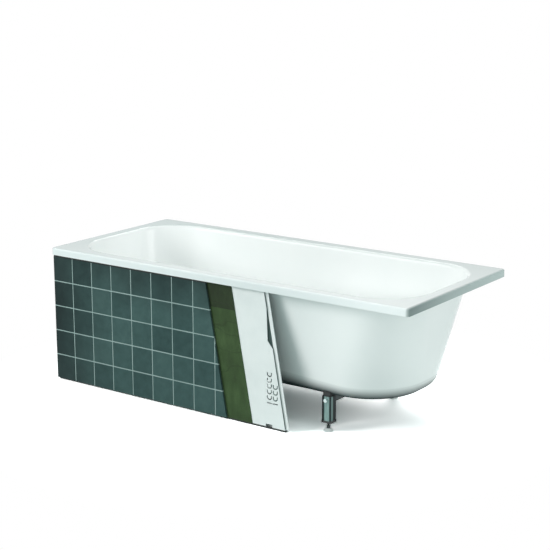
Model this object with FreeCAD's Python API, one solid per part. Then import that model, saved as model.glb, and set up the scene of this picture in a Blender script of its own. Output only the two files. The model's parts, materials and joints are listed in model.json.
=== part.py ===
import FreeCAD, Part
import math
import os

# A built-in bathtub of enamelled sheet steel behind a tiled front. The front is cut away in slanted steps:
# tiles, membrane and board show one behind the other, and the head end of the tub stands open.
# Millimetres, +X towards the head end, -Y towards the tiled front, +Z up.
# The origin lies on the floor under the middle of the rim.

# Tub shell
RIM_LENGTH = 1600.0
RIM_WIDTH = 700.0
RIM_TOP = 535.0
SHEET = 3.0
LIP_DEPTH = 28.0
RIM_CORNER_RADIUS = 14.0
RIM_EDGE_RADIUS = 6.0
RIM_END_WIDTH = 50.0
RIM_SIDE_WIDTH = 51.5
MOUTH_CORNER_RADIUS = 178.0
MOUTH_ROLL_RADIUS = 14.0
BASIN_UNDERSIDE = 132.0
END_LEAN = 79.0
SIDE_LEAN = 57.5
FLOOR_CORNER_SHARE = 0.93
FLOOR_BEND_RADIUS = 52.0

# Openings of the tub shell
SUMP_RADIUS = 48.0
SUMP_SLOPE_RUN = 14.0
SUMP_DEPTH = 4.0
DRAIN_FROM_END = 260.0
DRAIN_HOLE_RADIUS = 26.0
OVERFLOW_DROP = 130.0
OVERFLOW_HOLE_RADIUS = 26.0

# Sound mats and earthing lug under the basin
MAT_FROM_RAIL = 102.0
MAT_WIDTH = 240.0
MAT_GAP = 60.0
MAT_THICKNESS = 3.0
LUG_FROM_RAIL = 50.0
LUG_WIDTH = 22.0
LUG_HEIGHT = 22.0
LUG_SHEET = 3.0

# Fasteners
CLEARANCE = 0.3
RUNNING_CLEARANCE = 0.05
BOLT_RADIUS = 4.0
BOLT_ACROSS = 13.0
BOLT_HEAD_HEIGHT = 5.5
BOLT_NUT_HEIGHT = 6.5
BOLT_TAIL = 3.0
SCREW_RADIUS = 2.1
SCREW_HEAD_RADIUS = 4.2
SCREW_HEAD_HEIGHT = 2.4
SCREW_TAIL = 6.0
HEX_SIDES = 6

# Cross rails
RAIL_FROM_END = 259.0
RAIL_HEIGHT = 20.0
RAIL_SHEET = 2.5
RAIL_PAD_THICKNESS = 4.0
RAIL_PAD_LENGTH = 60.0
RAIL_PAD_FROM_SADDLE = 47.0
SADDLE_HEIGHT = 22.0
SADDLE_LENGTH = 54.0

# Legs
LEG_FROM_SIDE = 16.0
LEG_WIDTH = 40.0
LEG_DEPTH = 36.0
LEG_SHEET = 3.0
LEG_BEND_RADIUS = 8.0
LEG_RISE = 4.5
SOLE_FLOOR_GAP = 34.0
SOLE_THICKNESS = 3.0
SOLE_WALL = 1.5
SOLE_HEIGHT = 8.0
LEG_NUT_ACROSS = 17.0
LEG_NUT_HEIGHT = 8.0

# Feet
SPINDLE_RADIUS = 5.0
SPINDLE_TIP_CHAMFER = 1.0
SPINDLE_LENGTH = 86.0
SPINDLE_BALL_RADIUS = 6.5
SPINDLE_HEX_ACROSS = 13.0
SPINDLE_HEX_HEIGHT = 6.5
SPINDLE_HEX_LIFT = 5.5
PAD_RADIUS = 18.0
PAD_EDGE_HEIGHT = 4.0
PAD_COLLAR_RADIUS = 10.5
PAD_HEIGHT = 11.0
PAD_FLOOR = 2.0

# Front board
PANEL_END_GAP = 4.0
PANEL_TOP_GAP = 2.0
PANEL_CLEARANCE = 18.5
PANEL_SHEET = 2.0
PANEL_RETURN = 15.0
BOARD_LENGTH = 1003.0
CUT_RUN = 92.0
FLOOR_STRIP_HEIGHT = 8.0
FLOOR_STRIP_RECESS = 12.0
EDGE_SHEET = 2.5
EDGE_FLANGE = 45.0
EDGE_SETBACK = 6.0
EDGE_LIP = 14.0
EDGE_GASKET_WIDTH = 20.0
EDGE_GASKET_THICKNESS = 5.0
NOTCH_DROP = 62.0
NOTCH_HEIGHT = 117.0
NOTCH_TAIL = 26.0
NOTCH_INSET = 17.0
SLOT_WIDTH = 28.0
SLOT_HEIGHT = 10.0
SLOT_DEPTH = 9.0
SLOT_FROM_CUT = 69.0
VENT_RADIUS = 11.0
VENT_STROKE = 4.5
VENT_LEG = 6.0
VENT_COLUMNS = 2
VENT_ROWS = 5
VENT_PITCH_ACROSS = 25.5
VENT_PITCH_UP = 21.5
VENT_BASE_LIFT = 90.0
VENT_FROM_CUT = 25.5
VENT_EDGE_MARGIN = 2.5

# Wall covering on the board
BOARD_REVEAL = 142.0
MEMBRANE_REVEAL = 111.0
MEMBRANE_THICKNESS = 2.0
SEALING_TAPE_WIDTH = 90.0
SEALING_TAPE_THICKNESS = 0.8
TILE_SETBACK = 7.0
TILE_THICKNESS = 6.0
ADHESIVE_THICKNESS = 2.0
TILE_SIDE = 95.0
TILE_JOINT = 4.0
TILE_BEVEL = 1.0
GROUT_RECESS = 1.5
SEAL_HEIGHT = 8.0
SEAL_RECESS = 2.0
SEAL_TUCK = 6.0

# Board fixings
RIM_BRACKET_SHARES = (0.1, 0.5, 0.88)
RIM_BRACKET_WIDTH = 30.0
RIM_BRACKET_SHEET = 2.0
FLOOR_ANGLE_SHARES = (0.14, 0.52, 0.84)
FLOOR_ANGLE_WIDTH = 30.0
FLOOR_ANGLE_REACH = 32.0
FLOOR_ANGLE_SHEET = 2.5
FLOOR_HOLE_RADIUS = 2.75

# Waste
FLANGE_RADIUS = 36.0
FLANGE_THICKNESS = 2.5
FLANGE_SEAL_THICKNESS = 1.0
WASTE_TUBE_RADIUS = 24.0
WASTE_TUBE_WALL = 3.0
WASTE_TUBE_LENGTH = 28.0
GUIDE_BAR_WIDTH = 4.0
GUIDE_HEIGHT = 3.0
GUIDE_HUB_RADIUS = 7.0
WASTE_GASKET_THICKNESS = 3.0
WASTE_FLANGE_RADIUS = 40.0
WASTE_FLANGE_THICKNESS = 4.0
WASTE_BODY_DEPTH = 33.0
WASTE_BODY_WALL = 5.0
WASTE_BODY_FLOOR = 3.0
WASTE_INLET_DROP = 17.0
TRAP_RADIUS = 20.0
TRAP_WALL = 2.5
TRAP_BEND_RADIUS = 26.0
TRAP_FLOOR_GAP = 10.0
TRAP_RISE = 8.0
TRAP_RUN = 25.0
SPIGOT_LENGTH = 12.0
OUTLET_LENGTH = 150.0
UNION_RADIUS = 27.0
UNION_LENGTH = 18.0
UNION_SIDES = 12
UNION_COLLAR = 1.5

# Plug
PLUG_RADIUS = 30.0
PLUG_EDGE_HEIGHT = 2.5
PLUG_CROWN_HEIGHT = 5.0
PLUG_SEAL_RADIUS = 27.0
PLUG_SEAL_WIDTH = 4.0
PLUG_SEAL_GROOVE = 1.2
PLUG_SEAL_HEIGHT = 2.2
PLUG_STEM_RADIUS = 4.0
PLUG_STEM_TAIL = 14.0

# Overflow
OVERFLOW_SEAL_THICKNESS = 1.0
OVERFLOW_FLANGE_RADIUS = 31.0
OVERFLOW_FLANGE_THICKNESS = 3.0
OVERFLOW_TUBE_RADIUS = 23.0
OVERFLOW_TUBE_WALL = 3.0
OVERFLOW_TUBE_LENGTH = 16.0
OVERFLOW_GASKET_THICKNESS = 3.0
OVERFLOW_CUP_RADIUS = 34.0
OVERFLOW_CUP_DEPTH = 28.0
OVERFLOW_CUP_WALL = 3.0
OVERFLOW_PIPE_RADIUS = 14.0
OVERFLOW_PIPE_WALL = 2.0
OVERFLOW_BEND_RADIUS = 60.0
OVERFLOW_PIPE_SHARE = 0.62
SOCKET_WALL = 3.0
SOCKET_DEPTH = 20.0
SOCKET_LENGTH = 55.0
KNOB_RADIUS = 32.0
KNOB_HEIGHT = 14.0
KNOB_EDGE_RADIUS = 3.0
KNOB_GAP = 7.0
KNOB_FLAT_SHARE = 0.86
KNOB_SHAFT_RADIUS = 5.0
KNOB_SHAFT_TAIL = 4.0

CUT_OVERRUN = 5.0
FULL_TURN = 360.0
QUARTER_TURN = 90.0

V = FreeCAD.Vector
UP = V(0, 0, 1)
ORIGIN = V(0, 0, 0)

# Places that several pieces share
lip_face = -RIM_WIDTH / 2
lip_bottom = RIM_TOP - LIP_DEPTH
basin_depth = RIM_TOP - BASIN_UNDERSIDE
lean_angle = math.atan2(END_LEAN, basin_depth)
floor_half_length = RIM_LENGTH / 2 - RIM_END_WIDTH - END_LEAN
floor_half_width = RIM_WIDTH / 2 - RIM_SIDE_WIDTH - SIDE_LEAN
drain_x = -RIM_LENGTH / 2 + DRAIN_FROM_END
sump_top = BASIN_UNDERSIDE + SHEET - SUMP_DEPTH
sump_underside = BASIN_UNDERSIDE - SUMP_DEPTH
rail_x = floor_half_length - RAIL_FROM_END
rail_top = BASIN_UNDERSIDE - RAIL_PAD_THICKNESS
rail_bottom = rail_top - RAIL_HEIGHT
leg_top = rail_top + LEG_RISE
leg_y = floor_half_width - LEG_FROM_SIDE
rail_half_width = LEG_WIDTH / 2 - LEG_SHEET - CLEARANCE
rail_half_length = leg_y + LEG_DEPTH / 2 - LEG_SHEET
rail_bend = LEG_BEND_RADIUS - LEG_SHEET + CLEARANCE
rail_pad_y = rail_half_length - SADDLE_LENGTH - RAIL_PAD_FROM_SADDLE - RAIL_PAD_LENGTH / 2
leg_bottom = SOLE_FLOOR_GAP + SOLE_THICKNESS
leg_bolt_height = rail_top - RAIL_HEIGHT / 2
LEG_PLACES = {
    "head_front": (1, -1),
    "head_rear": (1, 1),
    "foot_front": (-1, -1),
    "foot_rear": (-1, 1),
}
tile_face = lip_face + TILE_SETBACK
tile_back = tile_face + TILE_THICKNESS
membrane_face = tile_back + ADHESIVE_THICKNESS
board_face = membrane_face + MEMBRANE_THICKNESS
board_back = lip_face + RIM_SIDE_WIDTH - PANEL_CLEARANCE
panel_left = -RIM_LENGTH / 2 + PANEL_END_GAP
panel_base = FLOOR_STRIP_HEIGHT
panel_top = lip_bottom - PANEL_TOP_GAP
tile_top = lip_bottom - SEAL_HEIGHT
membrane_length = BOARD_LENGTH - BOARD_REVEAL
tiled_length = membrane_length - MEMBRANE_REVEAL
flange_top = sump_top + FLANGE_SEAL_THICKNESS + FLANGE_THICKNESS
guide_bottom = flange_top - FLANGE_THICKNESS - WASTE_TUBE_LENGTH
waste_top = sump_underside - WASTE_GASKET_THICKNESS
waste_bottom = waste_top - WASTE_BODY_DEPTH
waste_inlet_height = waste_top - WASTE_INLET_DROP
trap_joint_height = waste_bottom - SPIGOT_LENGTH


# Plain shapes

def block(low, high):
    """A box between two opposite corners."""
    size = high.sub(low)
    return Part.makeBox(size.x, size.y, size.z, low)


def rod(radius, start, end):
    """A round bar between two points."""
    axis = end.sub(start)
    return Part.makeCylinder(radius, axis.Length, start, axis)


def ring(inner, outer, start, end):
    """A round tube between two points."""
    return rod(outer, start, end).cut(rod(inner, start, end))


def turned(profile):
    """A solid turned about Z from (radius, height) points."""
    points = [V(radius, 0, height) for radius, height in profile]
    face = Part.Face(Part.makePolygon(points + points[:1]))
    return face.revolve(ORIGIN, UP, FULL_TURN)


def prism(sides, across, start, end):
    """A bar with a regular outline, such as a hexagon, between two points."""
    axis = end.sub(start)
    corner = across / 2 / math.cos(math.pi / sides)
    turns = [2 * math.pi * step / sides for step in range(sides)]
    points = [V(corner * math.cos(turn), corner * math.sin(turn), 0) for turn in turns]
    bar = Part.Face(Part.makePolygon(points + points[:1])).extrude(V(0, 0, axis.Length))
    bar.Placement = FreeCAD.Placement(start, FreeCAD.Rotation(UP, axis))
    return bar


def bent_bar(points, bend_radius, radius):
    """A round bar along straight runs joined by arcs."""
    edges = []
    start = points[0]
    for before, corner, after in zip(points, points[1:], points[2:]):
        back = before.sub(corner).normalize()
        onward = after.sub(corner).normalize()
        half_angle = back.getAngle(onward) / 2
        inward = back.add(onward).normalize()
        reach = bend_radius / math.tan(half_angle)
        middle = corner.add(inward * (bend_radius / math.sin(half_angle) - bend_radius))
        first = corner.add(back * reach)
        last = corner.add(onward * reach)
        if not first.isEqual(start, CLEARANCE):
            edges.append(Part.LineSegment(start, first).toShape())
        edges.append(Part.Arc(first, middle, last).toShape())
        start = last
    edges.append(Part.LineSegment(start, points[-1]).toShape())
    section = Part.Wire(Part.makeCircle(radius, points[0], points[1].sub(points[0])))
    return Part.Wire(edges).makePipeShell([section], True, False)


def bent_tube(points, bend_radius, radius, wall):
    """A pipe along straight runs joined by arcs."""
    return bent_bar(points, bend_radius, radius).cut(bent_bar(points, bend_radius, radius - wall))


def bolt(start, end):
    """A hexagon bolt with its head's underside at start and its tip at end."""
    away = start.sub(end).normalize()
    head = prism(HEX_SIDES, BOLT_ACROSS, start, start.add(away * BOLT_HEAD_HEIGHT))
    return head.fuse(rod(BOLT_RADIUS, start, end)).removeSplitter()


def bolt_nut(start, way):
    """A hexagon nut that starts at a face and reaches the given way."""
    end = start.add(way * BOLT_NUT_HEIGHT)
    return prism(HEX_SIDES, BOLT_ACROSS, start, end).cut(rod(BOLT_RADIUS + RUNNING_CLEARANCE, start, end))


def screw(seat, way, grip):
    """A pan-head screw seated at a point, reaching the given way through the grip."""
    head = rod(SCREW_HEAD_RADIUS, seat, seat.sub(way * SCREW_HEAD_HEIGHT))
    return head.fuse(rod(SCREW_RADIUS, seat, seat.add(way * (grip + SCREW_TAIL)))).removeSplitter()


def level_edges(shape, height, half_length, half_width):
    """Edges that lie in a level plane, inside a centred rectangle."""
    found = []
    for edge in shape.Edges:
        bounds = edge.BoundBox
        level = max(abs(bounds.ZMin - height), abs(bounds.ZMax - height)) < RUNNING_CLEARANCE
        inside = max(-bounds.XMin, bounds.XMax) < half_length and max(-bounds.YMin, bounds.YMax) < half_width
        if level and inside:
            found.append(edge)
    return found


def at_legs(shape):
    """Copies of a piece modelled on the front head leg's axis, mirrored to the other legs."""
    return {name: at_leg(shape, name) for name in LEG_PLACES}


def at_leg(shape, name):
    """A piece modelled for a leg at the origin with its web in front, put at a leg's place."""
    along, across = LEG_PLACES[name]
    turned_piece = shape.copy() if across < 0 else shape.mirror(ORIGIN, V(0, 1, 0))
    return turned_piece.translated(V(along * rail_x, across * leg_y, 0))


def save(node, *shapes):
    """Write the solids of one node."""
    solids = [solid for shape in shapes for solid in shape.Solids]
    whole = solids[0] if len(solids) == 1 else Part.makeCompound(solids)
    whole.exportStep(os.path.join("parts", node + ".step"))


# Tub shell

def basin_outline(height, inset):
    """The basin's outside at a height, drawn in by an inset: straight sides and round corners."""
    depth_share = (RIM_TOP - height) / basin_depth
    length = floor_half_length + END_LEAN * (1 - depth_share) - inset
    width = floor_half_width + SIDE_LEAN * (1 - depth_share) - inset
    floor_corner = floor_half_width * FLOOR_CORNER_SHARE
    radius = MOUTH_CORNER_RADIUS + (floor_corner - MOUTH_CORNER_RADIUS) * depth_share - inset
    slack = radius * (1 - math.sqrt(0.5))
    edges = []
    for along, across in ((1, -1), (1, 1), (-1, 1), (-1, -1)):
        beside = V(along * (length - radius), across * width, height)
        middle = V(along * (length - slack), across * (width - slack), height)
        endward = V(along * length, across * (width - radius), height)
        first, last = (beside, endward) if along * across < 0 else (endward, beside)
        edges.append((first, Part.Arc(first, middle, last).toShape(), last))
    outline = []
    for corner, following in zip(edges, edges[1:] + edges[:1]):
        outline.append(corner[1])
        outline.append(Part.LineSegment(corner[2], following[0]).toShape())
    return Part.Wire(outline)


def basin_solid(bottom, top, inset, bend):
    """The basin's form between two heights, with its floor's edge rounded."""
    form = Part.makeLoft([basin_outline(bottom, inset), basin_outline(top, inset)], True, True)
    return form.makeFillet(bend, level_edges(form, bottom, RIM_LENGTH, RIM_WIDTH))


def rim_solid(inset, bottom):
    """The rim's block, with rounded corners and a rounded top edge."""
    half_length = RIM_LENGTH / 2 - inset
    half_width = RIM_WIDTH / 2 - inset
    top = RIM_TOP - inset
    rim = block(V(-half_length, -half_width, bottom), V(half_length, half_width, top))
    upright = [edge for edge in rim.Edges if edge.BoundBox.ZLength > top - bottom - RUNNING_CLEARANCE]
    rim = rim.makeFillet(RIM_CORNER_RADIUS - inset, upright)
    return rim.makeFillet(RIM_EDGE_RADIUS - inset, level_edges(rim, top, RIM_LENGTH, RIM_WIDTH))


def sump_solid(bottom):
    """The dished circle round the drain, from its bottom up."""
    return Part.makeCone(SUMP_RADIUS, SUMP_RADIUS + SUMP_SLOPE_RUN, SUMP_DEPTH, V(drain_x, 0, bottom))


def tub_shell():
    """One pressed sheet: rim with its lip, basin, dished drain, drain hole and overflow hole."""
    mouth_half_length = RIM_LENGTH / 2 - RIM_END_WIDTH + SHEET
    mouth_half_width = RIM_WIDTH / 2 - RIM_SIDE_WIDTH + SHEET
    rim_underside = RIM_TOP - SHEET
    shell = rim_solid(0, lip_bottom).cut(rim_solid(SHEET, lip_bottom - CUT_OVERRUN))
    shell = shell.fuse(basin_solid(BASIN_UNDERSIDE, rim_underside, 0, FLOOR_BEND_RADIUS)).removeSplitter()
    under_roll = level_edges(shell, rim_underside, mouth_half_length, mouth_half_width)
    shell = shell.makeFillet(MOUTH_ROLL_RADIUS - SHEET, under_roll)
    shell = shell.fuse(sump_solid(sump_underside))
    inside = basin_solid(BASIN_UNDERSIDE + SHEET, RIM_TOP + CUT_OVERRUN, SHEET, FLOOR_BEND_RADIUS - SHEET)
    shell = shell.cut(inside.fuse(sump_solid(sump_top)))
    mouth = level_edges(shell, RIM_TOP, mouth_half_length, mouth_half_width)
    shell = shell.makeFillet(MOUTH_ROLL_RADIUS, mouth)
    drain = V(drain_x, 0, sump_underside - CUT_OVERRUN)
    shell = shell.cut(rod(DRAIN_HOLE_RADIUS, drain, V(drain_x, 0, BASIN_UNDERSIDE + SHEET)))
    through = SHEET + CUT_OVERRUN
    return shell.cut(on_end_wall(rod(OVERFLOW_HOLE_RADIUS, V(0, 0, -through), V(0, 0, through))))


def on_end_wall(shape):
    """Put a piece on the foot end's wall: its Z points into the basin, its zero is the wall's outside."""
    height = RIM_TOP - OVERFLOW_DROP
    lean_in = END_LEAN * OVERFLOW_DROP / basin_depth
    point = V(-RIM_LENGTH / 2 + RIM_END_WIDTH + lean_in, 0, height)
    turn = FreeCAD.Rotation(V(0, 1, 0), QUARTER_TURN - math.degrees(lean_angle))
    placed = shape.copy()
    placed.Placement = FreeCAD.Placement(point, turn).multiply(shape.Placement)
    return placed


def sound_mats():
    """Two mats stuck under the basin's floor, clear of the rails."""
    mats = []
    near = MAT_GAP / 2
    far = rail_x - MAT_FROM_RAIL
    for side in (-1, 1):
        left, right = sorted((side * near, side * far))
        low = V(left, -MAT_WIDTH / 2, BASIN_UNDERSIDE - MAT_THICKNESS)
        mats.append(block(low, V(right, MAT_WIDTH / 2, BASIN_UNDERSIDE)))
    return mats


def earthing_lug():
    """A tab on the basin's underside with its bolt and nut, beside the foot rail."""
    face = V(-rail_x + LUG_FROM_RAIL, 0, BASIN_UNDERSIDE - LUG_HEIGHT / 2)
    back = face.add(V(LUG_SHEET, 0, 0))
    low = V(face.x, -LUG_WIDTH / 2, BASIN_UNDERSIDE - LUG_HEIGHT)
    tab = block(low, V(back.x, LUG_WIDTH / 2, BASIN_UNDERSIDE))
    tab = tab.cut(rod(BOLT_RADIUS + CLEARANCE, face, back))
    lug_bolt = bolt(face, back.add(V(BOLT_NUT_HEIGHT + BOLT_TAIL, 0, 0)))
    return tab, lug_bolt, bolt_nut(back, V(1, 0, 0))


# Rails and legs

def cross_rail():
    """A folded rail, open below, with closed ends that the legs bolt to; modelled at x zero."""
    corner = V(rail_half_width, rail_half_length, 0)
    rail = block(V(0, 0, rail_bottom).sub(corner), V(0, 0, rail_top).add(corner))
    upright = [edge for edge in rail.Edges if edge.BoundBox.ZLength > RAIL_HEIGHT - RUNNING_CLEARANCE]
    rail = rail.makeFillet(rail_bend, upright)
    inner_width = rail_half_width - RAIL_SHEET
    inner_length = rail_half_length - RAIL_SHEET
    hollow_low = V(-inner_width, -inner_length, rail_bottom - CUT_OVERRUN)
    rail = rail.cut(block(hollow_low, V(inner_width, inner_length, rail_top - RAIL_SHEET)))
    hole_reach = V(0, rail_half_length + CUT_OVERRUN, 0)
    middle = V(0, 0, leg_bolt_height)
    rail = rail.cut(rod(BOLT_RADIUS + CLEARANCE, middle.sub(hole_reach), middle.add(hole_reach)))
    for side in (-1, 1):
        top = V(0, side * rail_pad_y, rail_top)
        rail = rail.cut(rod(BOLT_RADIUS + CLEARANCE, top, top.sub(V(0, 0, RAIL_HEIGHT))))
    return rail


def rail_fixings():
    """Rubber pads, welded studs and nuts between the rails and the basin."""
    pads, studs, nuts = [], [], []
    for along in (-1, 1):
        for across in (-1, 1):
            middle = V(along * rail_x, across * rail_pad_y, 0)
            high = middle.add(V(0, 0, BASIN_UNDERSIDE))
            seat = middle.add(V(0, 0, rail_top - RAIL_SHEET))
            low_corner = middle.add(V(-rail_half_width, -RAIL_PAD_LENGTH / 2, rail_top))
            high_corner = middle.add(V(rail_half_width, RAIL_PAD_LENGTH / 2, BASIN_UNDERSIDE))
            stud_hole = rod(BOLT_RADIUS + CLEARANCE, high, seat)
            pads.append(block(low_corner, high_corner).cut(stud_hole))
            studs.append(rod(BOLT_RADIUS, seat.sub(V(0, 0, BOLT_NUT_HEIGHT + BOLT_TAIL)), high))
            nuts.append(bolt_nut(seat, V(0, 0, -1)))
    return pads, studs, nuts


def rail_saddle():
    """A rubber block between a rail's end and the bend under the basin, for a leg at the origin."""
    front = leg_y - rail_half_length
    high = V(rail_half_width, front + SADDLE_LENGTH, rail_top + SADDLE_HEIGHT)
    saddle = block(V(-rail_half_width, front, rail_top), high)
    saddle = saddle.makeFillet(rail_bend, web_corners(saddle))
    slack = CLEARANCE
    basin = basin_solid(BASIN_UNDERSIDE - slack, RIM_TOP - SHEET, -slack, FLOOR_BEND_RADIUS + slack)
    return saddle.cut(basin.translated(V(-rail_x, leg_y, 0)))


def leg_channel():
    """A folded channel with its web in front, open behind and above, with a holed floor."""
    half_width = LEG_WIDTH / 2
    half_depth = LEG_DEPTH / 2
    outer = block(V(-half_width, -half_depth, leg_bottom), V(half_width, half_depth, leg_top))
    outer = outer.makeFillet(LEG_BEND_RADIUS, web_corners(outer))
    inner_low = V(-half_width + LEG_SHEET, -half_depth + LEG_SHEET, leg_bottom + LEG_SHEET)
    inner = block(inner_low, V(half_width - LEG_SHEET, half_depth + CUT_OVERRUN, leg_top + CUT_OVERRUN))
    inner = inner.makeFillet(LEG_BEND_RADIUS - LEG_SHEET, web_corners(inner))
    web = V(0, -half_depth, leg_bolt_height)
    bolt_hole = rod(BOLT_RADIUS + CLEARANCE, web, web.add(V(0, LEG_SHEET, 0)))
    spindle_hole = rod(SPINDLE_RADIUS + CLEARANCE, V(0, 0, leg_bottom), V(0, 0, leg_bottom + LEG_SHEET))
    return outer.cut(inner).cut(bolt_hole).cut(spindle_hole)


def web_corners(channel):
    """The two upright edges at the front of a channel or a block."""
    front = channel.BoundBox.YMin + RUNNING_CLEARANCE
    return [edge for edge in channel.Edges
            if edge.BoundBox.YMax < front and edge.BoundBox.XLength < RUNNING_CLEARANCE]


def leg_sole():
    """A plastic cap round the leg's lower end."""
    half_width = LEG_WIDTH / 2
    half_depth = LEG_DEPTH / 2
    out = CLEARANCE + SOLE_WALL
    outer_low = V(-half_width - out, -half_depth - out, SOLE_FLOOR_GAP)
    cap = block(outer_low, V(half_width + out, half_depth + out, SOLE_FLOOR_GAP + SOLE_HEIGHT))
    upright = [edge for edge in cap.Edges if edge.BoundBox.ZLength > SOLE_HEIGHT - RUNNING_CLEARANCE]
    cap = cap.makeFillet(LEG_BEND_RADIUS + out, [edge for edge in upright if edge.BoundBox.YMax < 0])
    room_low = V(-half_width - CLEARANCE, -half_depth - CLEARANCE, leg_bottom)
    room = block(room_low, V(half_width + CLEARANCE, half_depth + CLEARANCE, leg_bottom + SOLE_HEIGHT))
    front_edges = [edge for edge in room.Edges
                   if edge.BoundBox.YMax < 0 and edge.BoundBox.ZLength > SOLE_HEIGHT - RUNNING_CLEARANCE]
    room = room.makeFillet(LEG_BEND_RADIUS + CLEARANCE, front_edges)
    hole = rod(SPINDLE_RADIUS + CLEARANCE, V(0, 0, SOLE_FLOOR_GAP), V(0, 0, leg_bottom))
    return cap.cut(room).cut(hole)


def leg_bolts():
    """The bolt and nut that join a leg's web to the end of its rail."""
    head = V(0, -LEG_DEPTH / 2, leg_bolt_height)
    nut_seat = head.add(V(0, LEG_SHEET + RAIL_SHEET, 0))
    return bolt(head, nut_seat.add(V(0, BOLT_NUT_HEIGHT + BOLT_TAIL, 0))), bolt_nut(nut_seat, V(0, 1, 0))


def leg_nut():
    """The nut welded on the leg's floor, in which the spindle turns."""
    seat = V(0, 0, leg_bottom + LEG_SHEET)
    top = seat.add(V(0, 0, LEG_NUT_HEIGHT))
    return prism(HEX_SIDES, LEG_NUT_ACROSS, seat, top).cut(rod(SPINDLE_RADIUS + RUNNING_CLEARANCE, seat, top))


def foot_spindle():
    """A threaded spindle with a ball end and a hexagon to turn it by."""
    ball = V(0, 0, PAD_FLOOR + SPINDLE_BALL_RADIUS + RUNNING_CLEARANCE)
    top = ball.add(V(0, 0, SPINDLE_LENGTH))
    shank = rod(SPINDLE_RADIUS, ball, top)
    tip = [edge for edge in shank.Edges if edge.BoundBox.ZMin > top.z - RUNNING_CLEARANCE]
    shank = shank.makeChamfer(SPINDLE_TIP_CHAMFER, tip)
    hex_low = ball.add(V(0, 0, SPINDLE_HEX_LIFT))
    hexagon = prism(HEX_SIDES, SPINDLE_HEX_ACROSS, hex_low, hex_low.add(V(0, 0, SPINDLE_HEX_HEIGHT)))
    return shank.fuse([hexagon, Part.makeSphere(SPINDLE_BALL_RADIUS, ball)])


def foot_pad():
    """A round pad that snaps over the spindle's ball."""
    socket_radius = SPINDLE_BALL_RADIUS + RUNNING_CLEARANCE
    ball = V(0, 0, PAD_FLOOR + socket_radius)
    pad = turned(((0, 0), (PAD_RADIUS, 0), (PAD_RADIUS, PAD_EDGE_HEIGHT),
                  (PAD_COLLAR_RADIUS, PAD_HEIGHT), (0, PAD_HEIGHT)))
    return pad.cut(Part.makeSphere(socket_radius, ball))


# Front board and its covering

def cut_x(length, height):
    """Where a slanted cut stands at a height; the length is the layer's own at the board's top."""
    return panel_left + length + CUT_RUN * (panel_top - height) / (panel_top - panel_base)


def cut_slab(length, left, low, high, front, back):
    """A slab of the front between two heights and two depths, ended by a slanted cut."""
    corners = (V(left, front, low), V(cut_x(length, low), front, low),
               V(cut_x(length, high), front, high), V(left, front, high))
    face = Part.Face(Part.makePolygon(corners + corners[:1]))
    return face.extrude(V(0, back - front, 0))


def front_board():
    """A folded tray: skin, edges and returns, with a trimmed edge, vents and a slot at the floor."""
    board = cut_slab(BOARD_LENGTH, panel_left, panel_base, panel_top, board_face, board_back)
    past_cut = BOARD_LENGTH + CUT_OVERRUN
    hollow = cut_slab(past_cut, panel_left + PANEL_SHEET, panel_base + PANEL_SHEET,
                      panel_top - PANEL_SHEET, board_face + PANEL_SHEET, board_back - PANEL_SHEET)
    window = cut_slab(past_cut, panel_left + PANEL_RETURN, panel_base + PANEL_RETURN,
                      panel_top - PANEL_RETURN, board_face + PANEL_SHEET, board_back + CUT_OVERRUN)
    return board.cut([hollow, window, board_notch(), floor_slot()] + vents())


def skin_cutter(points):
    """A cutter through the board's skin with corners at (x, height)."""
    front = board_face - CUT_OVERRUN
    corners = [V(x, front, height) for x, height in points]
    face = Part.Face(Part.makePolygon(corners + corners[:1]))
    return face.extrude(V(0, CUT_OVERRUN + PANEL_SHEET, 0))


def board_notch():
    """The trimmed edge of the skin beside the cut."""
    high = panel_top - NOTCH_DROP
    low = high - NOTCH_HEIGHT
    tail = low - NOTCH_TAIL
    return skin_cutter(((cut_x(BOARD_LENGTH, high), high),
                        (cut_x(BOARD_LENGTH, low) - NOTCH_INSET, low),
                        (cut_x(BOARD_LENGTH, tail), tail),
                        (cut_x(BOARD_LENGTH, tail) + CUT_OVERRUN, tail),
                        (cut_x(BOARD_LENGTH, high) + CUT_OVERRUN, high)))


def floor_slot():
    """The slot at the foot of the board, through its skin and its lower edge."""
    left = cut_x(BOARD_LENGTH, panel_base) - SLOT_FROM_CUT - SLOT_WIDTH / 2
    low = V(left, board_face - CUT_OVERRUN, panel_base - CUT_OVERRUN)
    return block(low, V(left + SLOT_WIDTH, board_face + SLOT_DEPTH, panel_base + SLOT_HEIGHT))


def vents():
    """Rows of flaps, cut free on three sides, above a row of bars, as many as clear the slanted cut."""
    base = panel_base + VENT_BASE_LIFT
    last_column = cut_x(BOARD_LENGTH, base) - VENT_FROM_CUT
    cutters = []
    for row in range(VENT_ROWS + 1):
        height = base + row * VENT_PITCH_UP
        for column in range(VENT_COLUMNS):
            x = last_column - column * VENT_PITCH_ACROSS
            if x + VENT_RADIUS + VENT_EDGE_MARGIN < cut_x(BOARD_LENGTH, height):
                cutters.append(vent_flap(x, height) if row else vent_bar(x, height))
    return cutters


def vent_flap(x, height):
    """A cutter round the sides and the lower end of a flap."""
    return flap_outline(x, height, VENT_RADIUS).cut(flap_outline(x, height, VENT_RADIUS - VENT_STROKE))


def flap_outline(x, height, radius):
    """A cutter through the board's skin, straight above a height and round below it."""
    front = board_face - CUT_OVERRUN
    left = V(x - radius, front, height)
    right = V(x + radius, front, height)
    leg = V(0, 0, VENT_LEG)
    round_end = Part.Arc(left, V(x, front, height - radius), right).toShape()
    sides = Part.makePolygon((right, right.add(leg), left.add(leg), left))
    face = Part.Face(Part.Wire([round_end] + sides.Edges))
    return face.extrude(V(0, CUT_OVERRUN + PANEL_SHEET, 0))


def vent_bar(x, height):
    """A bar-shaped cutter."""
    low = height - VENT_STROKE / 2
    high = height + VENT_STROKE / 2
    left = x - VENT_RADIUS
    right = x + VENT_RADIUS
    return skin_cutter(((left, low), (right, low), (right, high), (left, high)))


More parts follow.
